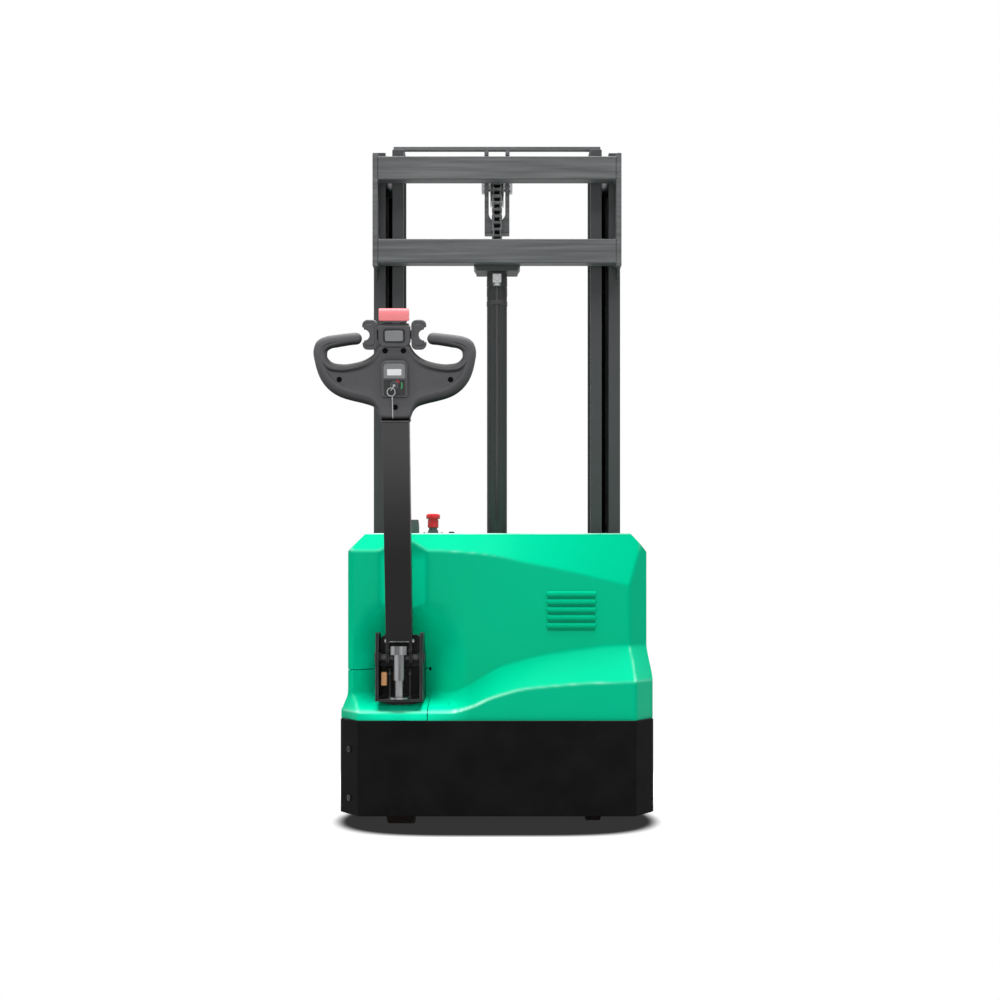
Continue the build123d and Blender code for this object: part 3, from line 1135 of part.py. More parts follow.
def make_belly_button():
    """Red safety button over the neck, guided by two stems."""
    z0 = HEAD_START + HEAD_HEIGHT + BELLY_GAP
    half = BELLY_WIDTH / 2
    deep = BELLY_THICKNESS / 2
    button = block(-half, half, -deep, deep, z0, z0 + BELLY_HEIGHT)
    button = fillet(button.edges().filter_by(Axis.X).group_by(Axis.Z)[-1], deep / 2)
    for x in (-BELLY_STEM_X, BELLY_STEM_X):
        button += upright(BELLY_STEM_RADIUS, x, 0, z0 - BELLY_GAP - BELLY_STEM, z0)
    return lean(button)


def make_horn_button():
    """Horn button in its recess on the neck."""
    face = -HEAD_THICKNESS / 2
    z = HEAD_START + HORN_RISE
    return lean(block(-HORN_WIDTH / 2, HORN_WIDTH / 2, face - HORN_PROUD, face + HORN_SEAT,
                      z - HORN_HEIGHT / 2, z + HORN_HEIGHT / 2))


def main():
    """Make every piece and write it."""
    os.makedirs("parts", exist_ok=True)
    save("chassis_frame", make_chassis_frame())
    save("skirt", make_skirt())
    main_cover, service_cover = make_covers()
    save("main_cover", main_cover)
    save("service_cover", service_cover)
    save("battery", make_battery())
    save("oil_tank", make_oil_tank())
    save("pump_motor", make_pump_motor())
    save("controller", make_controller())
    collar, button = make_stop_switch()
    save("stop_switch_collar", collar)
    save("stop_button", button)
    save("charger_socket", make_charger_socket())
    save("cover_screws", *make_screws())

    sides = ("right", "left")
    for side, leg, wheel in zip(sides, both_sides(make_leg()), both_sides(make_load_wheel())):
        save(f"support_leg_{side}", leg)
        save(f"load_wheel_{side}", wheel)
    for side, outer, inner in zip(sides, both_sides(make_outer_channel()), both_sides(make_inner_channel())):
        save(f"mast_channel_{side}", outer)
        save(f"inner_channel_{side}", inner)
    save("mast_side_plates", *make_side_plates())
    save("mast_upper_beam", make_cross_beam(UPPER_BEAM_Z, UPPER_BEAM_HEIGHT))
    save("mast_lower_beam", make_cross_beam(LOWER_BEAM_Z, LOWER_BEAM_HEIGHT))
    save("mast_base_frame", make_mast_base())
    top_x = INNER_WEB_OUT + ROLLER_SIDE
    save("mast_top_rollers", *both_sides(make_roller(top_x, top_x + ROLLER_WIDTH, TOP_ROLLER_Z)))
    low_x = HALF_MAST - CHANNEL_WEB - ROLLER_SIDE
    save("inner_bottom_rollers", *both_sides(make_roller(low_x - ROLLER_WIDTH, low_x, BOTTOM_ROLLER_Z)))

    save("lift_barrel", make_barrel())
    save("lift_rod", make_rod())
    save("barrel_bracket", make_head_bracket())
    save("bleed_line", make_bleed_line())
    save("inner_top_beam", make_top_beam())
    save("inner_push_beam", make_push_beam())
    save("inner_bottom_beam", make_bottom_beam())
    save("pulley_bracket", make_pulley_bracket())
    save("pulley_axle", make_pulley_axle())
    save("chain_wheel", make_chain_wheel())
    fixed, wrap, lifting = make_chain()
    save("chain_fixed_leg", fixed)
    save("chain_wrap", wrap)
    save("chain_lifting_leg", lifting)

    save("carriage_frame", make_carriage())
    in_x = INNER_WEB_IN - ROLLER_SIDE
    for name, z in (("upper", UPPER_ROLLER_Z), ("lower", LOWER_ROLLER_Z)):
        rollers = both_sides(make_roller(in_x - CARRIAGE_ROLLER_WIDTH, in_x, z))
        save(f"carriage_{name}_rollers", *rollers)
    for side, fork in zip(sides, both_sides(make_fork())):
        save(f"fork_{side}", fork)

    save("drive_yoke", make_drive_yoke())
    save("drive_motor", make_drive_motor())
    save("drive_wheel", make_drive_wheel())
    save("castor_fork", make_castor_fork())
    save("castor_wheel", make_castor_wheel())
    save("tiller_bracket", make_tiller_bracket())
    save("tiller_pivot_pin", make_pivot_pin())
    save("gas_spring_tube", make_spring_tube())
    save("gas_spring_sleeve", make_spring_sleeve())
    save("tiller_arm", make_arm())
    save("tiller_head", make_head())
    save("control_panel", make_panel())
    save("ignition_key", make_key())
    save("thumb_switches", make_thumb_switches())
    save("belly_button", make_belly_button())
    save("horn_button", make_horn_button())


main()
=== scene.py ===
"""Looks of an electric walkie stacker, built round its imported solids."""
import json
import logging
from dataclasses import dataclass
from enum import Enum
from functools import reduce
from typing import Iterable, Sequence

import bmesh
import bpy
import numpy as np
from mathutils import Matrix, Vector

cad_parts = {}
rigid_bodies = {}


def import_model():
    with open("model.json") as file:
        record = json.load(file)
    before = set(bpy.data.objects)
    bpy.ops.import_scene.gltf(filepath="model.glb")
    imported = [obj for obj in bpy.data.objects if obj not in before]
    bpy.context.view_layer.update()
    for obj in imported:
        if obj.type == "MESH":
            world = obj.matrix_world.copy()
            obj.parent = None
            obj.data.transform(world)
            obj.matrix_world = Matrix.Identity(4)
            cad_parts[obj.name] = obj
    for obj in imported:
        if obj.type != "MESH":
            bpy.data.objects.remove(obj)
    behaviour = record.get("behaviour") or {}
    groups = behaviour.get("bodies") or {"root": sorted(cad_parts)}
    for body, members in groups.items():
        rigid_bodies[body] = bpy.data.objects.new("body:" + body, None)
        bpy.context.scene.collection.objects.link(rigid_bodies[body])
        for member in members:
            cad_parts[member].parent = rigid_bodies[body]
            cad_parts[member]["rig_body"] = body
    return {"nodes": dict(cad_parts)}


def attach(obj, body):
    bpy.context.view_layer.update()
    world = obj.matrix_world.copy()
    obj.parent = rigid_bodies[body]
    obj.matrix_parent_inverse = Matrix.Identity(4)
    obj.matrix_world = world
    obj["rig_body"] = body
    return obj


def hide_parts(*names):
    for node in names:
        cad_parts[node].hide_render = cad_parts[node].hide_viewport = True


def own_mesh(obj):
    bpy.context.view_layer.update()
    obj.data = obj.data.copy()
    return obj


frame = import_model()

Array = np.ndarray
Pair = tuple[float, float]
Triple = tuple[float, float, float]
Profile = Sequence[Pair]
Piece = bpy.types.Object
Socket = bpy.types.NodeSocket
Tree = bpy.types.NodeTree

log = logging.getLogger("stacker")
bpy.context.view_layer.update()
MM = 0.001
SIDES = (-1, 1)  # left and right
SKIRT_FACE = 729.0  # skirt's rear face behind the origin, mm
# UV map in which the covers keep their painted crease highlight and painted pocket light
PAINTED_LIGHT_UV = "crease"
TINY = 1e-6
MERGE = 0.002  # mm within which a form's points are joined
SOLID_MERGE = 0.01  # mm within which a solid's points are joined
SOLID_SHARP = 32.0  # degrees over which a solid's edges stay sharp
SOLID_FLAT = 0.4  # degrees under which a solid's faces count as level


class Axis(Enum):
    """Axis that a turned piece spins about."""

    ACROSS = 0
    ALONG = 1
    UP = 2


# Points and faces

def place(x: Array | float, s: Array | float, z: Array | float) -> Array:
    """Points of the shared frame in metres.

    Args:
        x: mm to the right of the truck's centre plane.
        s: mm forward of the skirt's rear face.
        z: mm over the floor.

    Returns:
        Array whose last axis holds the three coordinates.
    """
    return np.stack(np.broadcast_arrays(x, np.asarray(s, float) - SKIRT_FACE, z), axis=-1) * MM


@dataclass
class Form:
    """Points in metres and the faces between them."""

    points: Array
    faces: list

    def __add__(self, other: "Form") -> "Form":
        """Both forms in one, the other's faces renumbered."""
        shift = len(self.points)
        moved = [[corner + shift for corner in face] for face in other.faces]
        return Form(np.concatenate([self.points, other.points]), self.faces + moved)


def join(forms: Iterable[Form]) -> Form:
    """One form from several."""
    return reduce(Form.__add__, forms)


def lattice(points: Array, wrap: bool = False) -> Form:
    """Surface over a grid of points.

    Each face joins a point with its neighbours in the next row and column.

    Args:
        points: rows x columns x 3.
        wrap: whether the last column joins the first.

    Returns:
        The form, with rows * columns points.
    """
    rows, cols = points.shape[:2]
    index = np.arange(rows * cols).reshape(rows, cols)
    here = index if wrap else index[:, :-1]
    beside = np.roll(index, -1, axis=1) if wrap else index[:, 1:]
    faces = np.stack([here[:-1], beside[:-1], beside[1:], here[1:]], axis=-1)
    return Form(points.reshape(-1, 3), faces.reshape(-1, 4).tolist())


def capped(form: Form, count: int) -> Form:
    """Form of rings with a face over its first and its last ring of that many points."""
    last = len(form.points) - count
    form.faces += [list(range(count))[::-1], list(range(last, last + count))]
    return form


def around(sides: int) -> Array:
    """Evenly stepped angles of one turn."""
    return np.linspace(0, 2 * np.pi, sides, endpoint=False)


def turned(profile: Profile, centre: Triple, axis: Axis | Triple, sides: int = 48) -> Form:
    """Profile carried round an axis.

    A point of the profile at (radius, height) gives a ring: centre + height along the axis + radius times
    an evenly stepped angle's cosine along one square vector and its sine along the other.

    Args:
        profile: (radius, height) pairs in mm, from one end to the other.
        centre: (x, s, z) of height 0, in mm.
        axis: the axis of the turning, or any direction that isn't upright.
        sides: points in each ring.

    Returns:
        Closed form where the profile starts and ends on the axis.
    """
    if isinstance(axis, Axis):
        along, first, second = np.roll(np.eye(3), -axis.value, axis=0)
    else:
        along = unit(np.array(axis, float))
        first = unit(np.cross(along, (0, 0, 1)))
        second = np.cross(along, first)
    radius, height = np.array(profile, float).T[:, :, None, None]
    angle = around(sides)[:, None]
    out = np.cos(angle) * first + np.sin(angle) * second
    points = np.array(centre, float) + height * along + radius * out
    return lattice(place(*np.moveaxis(points, -1, 0)), wrap=True)


def rod(radius: float, start: float, end: float, edge: float = 1.0) -> Profile:
    """Profile of a closed round bar with chamfered ends."""
    return [(0, start), (radius - edge, start), (radius, start + edge),
            (radius, end - edge), (radius - edge, end), (0, end)]


def both_ways(half: Profile) -> Profile:
    """Closed profile from its upper half, outermost point last, and that half's mirror image."""
    return [*half, *((radius, -height) for radius, height in half[::-1]), half[0]]


def hexagon(across: float, start: float, end: float, centre: Triple, axis: Axis) -> Form:
    """Hexagonal nut or bolt head with a chamfered top and a dimple.

    Args:
        across: width over the flats, in mm.
        start, end: its reach along the axis.
        centre: point on the axis.
        axis: way that it points.

    Returns:
        The head's form.
    """
    r = across / np.sqrt(3)
    chamfer = end - 0.18 * (end - start)
    profile = [(0, start), (r, start), (r, chamfer), (r * 0.86, end), (r * 0.3, end), (0, end)]
    return turned(profile, centre, axis, sides=6)


def unit(vector: Array) -> Array:
    """Vectors of length 1 along the last axis."""
    return vector / np.maximum(np.linalg.norm(vector, axis=-1, keepdims=True), 1e-12)


def swept(path: Array, section: Array, up: Triple, closed: bool = False) -> Form:
    """Section carried along a path.

    At each path point the section's two coordinates run along side = tangent x up and along
    side x tangent, so a ring is point + a * side + b * upright.

    Args:
        path: n x 3 points in metres.
        section: m x 2 or n x m x 2 offsets in metres, going round.
        up: direction that the section's second coordinate keeps close to.
        closed: whether the path's end joins its start; otherwise the ends get faces.

    Returns:
        The swept form.
    """
    if closed:
        tangent = unit(np.roll(path, -1, axis=0) - np.roll(path, 1, axis=0))
    else:
        tangent = unit(np.gradient(path, axis=0))
    side = unit(np.cross(tangent, np.broadcast_to(np.array(up, float), tangent.shape)))
    upright = np.cross(side, tangent)
    section = np.broadcast_to(section, (len(path),) + section.shape[-2:])
    rings = path[:, None] + section[..., :1] * side[:, None] + section[..., 1:] * upright[:, None]
    if closed:
        return lattice(np.concatenate([rings, rings[:1]]), wrap=True)
    return capped(lattice(rings, wrap=True), section.shape[1])


def circle(radius: float, sides: int = 12) -> Array:
    """Round section in metres from a radius in mm."""
    angle = around(sides)
    return np.stack([np.cos(angle), np.sin(angle)], axis=-1) * radius * MM


def block(low: Triple, high: Triple) -> Form:
    """Box between two corners (x, s, z) in mm; a bevel rounds it later."""
    corners = [[(low, high)[bit >> axis & 1][axis] for axis in range(3)] for bit in range(8)]
    faces = [[0, 2, 3, 1], [4, 5, 7, 6], [0, 1, 5, 4], [2, 6, 7, 3], [0, 4, 6, 2], [1, 3, 7, 5]]
    return Form(place(*np.array(corners, float).T), faces)


def slab(outline: Array, low: float, high: float, axis: Axis) -> Form:
    """Flat outline given a thickness.

    Args:
        outline: n x 2 points in mm; the two axes left over, in order.
        low, high: faces along the axis, mm.
        axis: the direction of the thickness.

    Returns:
        Closed form with an outline-shaped face at each end.
    """
    order = list(outline.T[:, None])
    order.insert(axis.value, np.array([low, high], float)[:, None])
    return capped(lattice(place(*order), wrap=True), len(outline))


def curve_through(stations: Profile, at: Array) -> Array:
    """Smooth curve through stations without overshoot.

    Cubic between neighbours, with each station's slope the harmonic mean of the slopes beside it
    and 0 where they differ in sign.

    Args:
        stations: (place, value) pairs in rising order of place.
        at: places to read the curve at.

    Returns:
        Values, held constant beyond the ends.
    """
    x, y = np.array(stations, float).T
    step = np.diff(x)
    rise = np.diff(y) / step
    pair = rise[:-1] * rise[1:]
    inner = np.where(pair > 0, 2 * pair / np.where(pair > 0, rise[:-1] + rise[1:], 1), 0)
    slope = np.concatenate([[rise[0]], inner, [rise[-1]]])
    at = np.clip(at, x[0], x[-1])
    k = np.clip(np.searchsorted(x, at) - 1, 0, len(step) - 1)
    t = (at - x[k]) / step[k]
    return ((2 * t**3 - 3 * t**2 + 1) * y[k] + (t**3 - 2 * t**2 + t) * step[k] * slope[k]
            + (3 * t**2 - 2 * t**3) * y[k + 1] + (t**3 - t**2) * step[k] * slope[k + 1])


def soften(values: Array, passes: int) -> Array:
    """Repeated 1-2-1 mean along both axes of a grid, edges held.

    Args:
        values: the grid.
        passes: rounds along each axis.

    Returns:
        The softened grid.
    """
    for axis in (0, 1) * passes:
        ends = np.take(values, [0], axis), values, np.take(values, [-1], axis)
        before, here, after = (np.take(np.concatenate(ends, axis), np.arange(k, k + values.shape[axis]), axis)
                               for k in range(3))
        values = (before + 2 * here + after) / 4
    return values


def scatter(form: Form, spots: Array, tilt: Array) -> Form:
    """Copies of a form made about the origin, each tilted about the x axis and moved to its spot.

    Args:
        form: the form to copy.
        spots: n x 3 places in metres.
        tilt: n angles in radians.

    Returns:
        All the copies in one form.
    """
    cos, sin = np.cos(tilt)[:, None], np.sin(tilt)[:, None]
    x, y, z = form.points.T
    copies = np.stack([x + 0 * cos, y * cos - z * sin, y * sin + z * cos], axis=-1) + spots[:, None]
    shifts = range(0, len(tilt) * len(x), len(x))
    return Form(copies.reshape(-1, 3), [[k + shift for k in face] for shift in shifts for face in form.faces])


def bead(start: Triple, end: Triple, radius: float, up: Triple = (0, 0, 1)) -> Form:
    """Weld bead: a rope between two points in mm.

    Its radius swells and sinks by a tenth in 15 even ripples and draws in over the last 3% at each end.

    Args:
        start, end: its ends, mm.
        radius: mean radius, mm.
        up: direction that its section keeps close to.

    Returns:
        The closed rope.
    """
    share = np.linspace(0, 1, 61)[:, None]
    path = np.array(start, float) * (1 - share) + np.array(end, float) * share
    size = 1 + 0.1 * np.sin(share * np.pi * 30) - 0.6 * np.clip(np.abs(2 * share - 1) - 0.94, 0, 1) / 0.06
    return swept(place(*path.T), circle(radius, 8)[None] * size[:, :, None], up)


def rounded(centre: Pair, half: Pair, top: float, bottom: float, steps: int = 7) -> Array:
    """Outline of a rectangle with round corners.

    Each corner is a quarter circle about a centre set in by that corner's radius.

    Args:
        centre: middle of the rectangle, mm.
        half: half its width and height, mm.
        top, bottom: radii of the upper and the lower corners, mm.
        steps: points on each corner.

    Returns:
        n x 2 points, going round.
    """
    turn = np.linspace(0, np.pi / 2, steps)
    corners = ((1, 1, top), (-1, 1, top), (-1, -1, bottom), (1, -1, bottom))
    parts = []
    for quarter, (side, rise, radius) in enumerate(corners):
        angle = turn + quarter * np.pi / 2
        parts.append(np.stack([centre[0] + side * (half[0] - radius) + radius * np.cos(angle),
                               centre[1] + rise * (half[1] - radius) + radius * np.sin(angle)], axis=-1))
    return np.concatenate(parts)


def plate(centre: Pair, half: Pair, corners: Pair, span: Pair, axis: Axis = Axis.ALONG) -> Form:
    """Rectangle, rounded by its upper and lower corners' radii, between two faces along an axis."""
    return slab(rounded(centre, half, *corners), *span, axis)


def rim(loop: Array, level: float, section: Array, axis: Axis) -> Form:
    """Bead of some section along a closed flat outline that lies at a level of an axis and looks along it."""
    path = place(*np.insert(loop, axis.value, level, axis=1).T)
    return swept(path, section, tuple(np.eye(3)[axis.value]), closed=True)


def sector(centre: Pair, radii: Pair, start: float, end: float) -> Array:
    """Outline of a piece of a ring between two angles in degrees."""
    angle = np.radians(np.linspace(start, end, 13))[:, None]
    arc = np.concatenate([np.cos(angle), np.sin(angle)], axis=1)
    return np.array(centre) + np.concatenate([arc * radii[1], arc[::-1] * radii[0]])


def between(values: Array, places: Array, wanted: Array, axis: int) -> Array:
    """Grid values read between their rows or columns, in straight steps.

    Args:
        values: the grid.
        places: places of its rows or columns.
        wanted: places to read at.
        axis: 0 for rows, 1 for columns.

    Returns:
        The values read.
    """
    k = np.clip(np.searchsorted(places, wanted, side="right") - 1, 0, len(places) - 2)
    share = (wanted - places[k]) / (places[k + 1] - places[k])
    share = share[:, None] if axis == 0 else share[None, :]
    return np.take(values, k, axis) * (1 - share) + np.take(values, k + 1, axis) * share


# Finishes

class Grain(Enum):
    """Direction that a finish's fine grain is drawn out in, as stretch of the pattern."""

    EVEN = (1.0, 1.0, 1.0)
    ACROSS = (0.04, 1.0, 1.0)
    ALONG = (1.0, 0.04, 1.0)
    UPRIGHT = (1.0, 1.0, 0.04)


class NodeBench:
    """Lays and links shader nodes in one tree."""

    def __init__(self, tree: Tree, cleared: bool = False) -> None:
        """Keep the tree to work in, emptied if asked."""
        self.tree = tree
        if cleared:
            tree.nodes.clear()

    def feed(self, node: bpy.types.Node, inputs: dict) -> None:
        """Set or link a node's inputs, given by name or number.

        Args:
            node: the node.
            inputs: a value or a socket for each input.
        """
        for key, value in inputs.items():
            if isinstance(value, Socket):
                self.tree.links.new(value, node.inputs[key])
            else:
                node.inputs[key].default_value = value

    def add(self, kind: str, inputs: dict | None = None, **settings: object) -> bpy.types.Node:
        """Lay a node.

        Args:
            kind: node type without its ShaderNode prefix.
            inputs: value or output socket for each input, by name or number.
            settings: the node's own properties.

        Returns:
            The new node.
        """
        node = self.tree.nodes.new("ShaderNode" + kind)
        for name, value in settings.items():
            setattr(node, name, value)
        self.feed(node, inputs or {})
        return node

    def math(self, operation: str, *values: object) -> Socket:
        """Result of a clamped operation carried through two or more values.

        Args:
            operation: name of the operation.
            values: numbers or sockets.

        Returns:
            The last result's socket.
        """
        result, *others = values
        for other in others:
            result = self.add("Math", {0: result, 1: other}, operation=operation, use_clamp=True).outputs[0]
        return result

    def vector(self, operation: str, *values: object, output: str = "Vector") -> Socket:
        """Result of an operation on vectors."""
        return self.add("VectorMath", dict(enumerate(values)), operation=operation).outputs[output]

    def part(self, vector: Socket, axis: int) -> Socket:
        """One coordinate of a vector."""
        return self.add("SeparateXYZ", {0: vector}).outputs[axis]

    def own(self) -> Socket:
        """The piece's own coordinates."""
        return self.add("TexCoord").outputs["Object"]

    def normal(self) -> Socket:
        """Direction that the surface looks in."""
        return self.add("NewGeometry").outputs["Normal"]

    def mix(self, share: object, first: object, second: object) -> Socket:
        """Colour between two others."""
        return self.add("Mix", {0: share, 6: first, 7: second}, data_type="RGBA").outputs[2]

    def shaders(self, share: Socket, first: Socket, second: Socket) -> Socket:
        """Shader between two others."""
        return self.add("MixShader", {0: share, 1: first, 2: second}).outputs[0]

    def span(self, value: object, low: object, high: object, to_low: object = 0.0, to_high: object = 1.0,
             shape: str = "LINEAR") -> Socket:
        """Value mapped from one range to another and held at its ends."""
        inputs = {"Value": value, "From Min": low, "From Max": high, "To Min": to_low, "To Max": to_high}
        return self.add("MapRange", inputs, interpolation_type=shape).outputs[0]

    def noise(self, scale: object, detail: float, stretch: object = (1, 1, 1)) -> Socket:
        """Fractal noise on the piece's own coordinates, drawn out by a stretch."""
        drawn = self.vector("MULTIPLY", self.own(), stretch)
        return self.add("TexNoise", {"Vector": drawn, "Scale": scale, "Detail": detail}).outputs["Fac"]

    def patches(self, scale: float, detail: float, low: float, high: float, least: float = 0.0) -> Socket:
        """Noise mapped so that it is at its least under a low mark and 1 over a high one."""
        return self.span(self.noise(scale, detail), low, high, least)

    def effect(self, kind: "Effect", **inputs: object) -> Socket:
        """Output of an effect's group, with its inputs set or linked."""
        return self.add("Group", inputs, node_tree=kind.group()).outputs[0]

    def seen(self) -> Socket:
        """1 for rays from the eye, by mirrors and through glass too, and 0 for the light on things."""
        path = self.add("LightPath").outputs
        return self.math("ADD", *(path[f"Is {kind} Ray"] for kind in ("Camera", "Glossy", "Transmission")))


class Effect(Enum):
    """Surface effects that several finishes share, each one node group."""

    TONE = "tone_drift"
    GLOSS = "gloss_drift"
    GRAIN = "fine_grain"
    WEAR = "edge_wear"
    PAINTED_LIGHT = "painted_crease_and_hollow_light"
    FADE = "height_fade"
    DUST_AND_TOP_LIGHT = "dust_and_top_light_film"
    PAINTED_UNDER_SHADE = "painted_under_shade"
    SCRATCH = "hair_scratches"

    def group(self) -> Tree:
        """The effect's node group, made on first use."""
        return bpy.data.node_groups.get(self.value) or getattr(EffectMaker(self.value), self.value)()


class EffectMaker(NodeBench):
    """Builds one effect's node group with named sockets."""

    COLOURS = ("Colour", "Second", "Bare", "Bright", "Deep", "Other", "Dust", "Dark")
    KINDS = {"Stretch": "Vector", **dict.fromkeys(COLOURS, "Color")}  # the others are numbers

    def __init__(self, name: str) -> None:
        """Start an empty group."""
        super().__init__(bpy.data.node_groups.new(name, "ShaderNodeTree"))
        self.entry = self.tree.nodes.new("NodeGroupInput")
        self.exit = self.tree.nodes.new("NodeGroupOutput")

    def socket(self, name: str, way: str) -> None:
        """Add a socket to the group's face."""
        kind = "NodeSocket" + self.KINDS.get(name, "Float")
        self.tree.interface.new_socket(name, in_out=way, socket_type=kind)

    def takes(self, *names: str) -> list[Socket]:
        """Add inputs and return their sockets inside the group."""
        for name in names:
            self.socket(name, "INPUT")
        return [self.entry.outputs[name] for name in names]

    def gives(self, name: str, value: Socket) -> Tree:
        """Add an output fed by a socket and return the group."""
        self.socket(name, "OUTPUT")
        self.feed(self.exit, {name: value})
        return self.tree

    def tone_drift(self) -> Tree:
        """Colour that drifts towards a second one where soft noise is high."""
        colour, second, scale, stretch, amount = self.takes("Colour", "Second", "Scale", "Stretch", "Amount")
        share = self.span(self.noise(scale, 4.0, stretch), 0.35, 0.65)
        return self.gives("Colour", self.mix(self.math("MULTIPLY", share, amount), colour, second))

    def gloss_drift(self) -> Tree:
        """Roughness that drifts between two values with cloudy noise."""
        scale, low, high = self.takes("Scale", "Low", "High")
        return self.gives("Value", self.span(self.noise(scale, 5.0), 0.3, 0.7, low, high))

    def fine_grain(self) -> Tree:
        """Height of a fine grain: noise drawn out along one direction."""
        scale, stretch = self.takes("Scale", "Stretch")
        return self.gives("Height", self.noise(scale, 2.0, stretch))

    def edge_wear(self) -> Tree:
        """Colour rubbed towards a worn one by edges, where a normal eased over a radius turns away."""
        colour, bare_and_highlight, amount, radius, full = self.takes("Colour", "Bare", "Amount", "Radius", "Full")
        eased = self.add("Bevel", {"Radius": radius}, samples=8).outputs[0]
        turn = self.vector("DOT_PRODUCT", eased, self.normal(), output="Value")
        bend = self.math("DIVIDE", self.math("SUBTRACT", 0.996, turn), full)
        share = self.math("MULTIPLY", bend, self.patches(24.0, 5.0, 0.4, 0.62, 0.35), amount)
        return self.gives("Colour", self.mix(share, colour, bare_and_highlight))

    def painted_crease_and_hollow_light(self) -> Tree:
        """Colour with painted light from the shares that a skin keeps in its own UV map.

        U is the share of painted highlight along creases, broken up by noise. V is the share of painted light
        in the pocket and groove.
        """
        colour, bright, amount, deep, lift = self.takes("Colour", "Bright", "Amount", "Deep", "Lift")
        spot = self.add("UVMap", uv_map=PAINTED_LIGHT_UV).outputs[0]
        lit = self.mix(self.math("MULTIPLY", self.part(spot, 1), lift), colour, deep)
        share = self.math("MULTIPLY", self.part(spot, 0), self.patches(6.0, 3.0, 0.36, 0.52, 0.55), amount)
        return self.gives("Colour", self.mix(share, lit, bright))

    def height_fade(self) -> Tree:
        """Colour that turns into another between two heights."""
        colour, other, low, high = self.takes("Colour", "Other", "Low", "High")
        share = self.span(self.part(self.own(), 2), low, high, shape="SMOOTHSTEP")
        return self.gives("Colour", self.mix(share, colour, other))

    def dust_and_top_light_film(self) -> Tree:
        """Thin pale film that lies on faces that look up: dust, and on the moulded black plastic painted
        light.
        """
        colour, dust_and_top_light, amount = self.takes("Colour", "Dust", "Amount")
        up = self.span(self.part(self.normal(), 2), 0.2, 1.0)
        share = self.math("MULTIPLY", up, self.patches(9.0, 6.0, 0.35, 0.75, 0.2), amount)
        return self.gives("Colour", self.mix(share, colour, dust_and_top_light))

    def painted_under_shade(self) -> Tree:
        """Painted shade on faces that look down."""
        colour, dark, amount = self.takes("Colour", "Dark", "Amount")
        down = self.span(self.part(self.normal(), 2), -0.16, -0.82)
        return self.gives("Colour", self.mix(self.math("MULTIPLY", down, amount), colour, dark))

    def hair_scratches(self) -> Tree:
        """Few thin lines, where noise drawn out across the piece peaks."""
        scale, amount = self.takes("Scale", "Amount")
        lines = self.span(self.noise(scale, 3.0, (0.06, 0.06, 1.4)), 0.66, 0.7)
        return self.gives("Mask", self.math("MULTIPLY", lines, self.patches(3.0, 2.0, 0.5, 0.65), amount))


def linear(code: str) -> tuple[float, float, float, float]:
    """Linear colour from a written one such as #1a2b3c."""
    part = np.array([int(code[k:k + 2], 16) / 255 for k in (1, 3, 5)])
    value = np.where(part <= 0.04045, part / 12.92, ((part + 0.055) / 1.055) ** 2.4)
    return (*value.tolist(), 1.0)


DUST_AND_TOP_LIGHT_COLOUR = linear("#b9b6ae")
# colour of the painted shade on faces that look down
UNDER_SHADE_COLOUR = linear("#0c0c0d")
SCRATCH_SCALE = 60.0


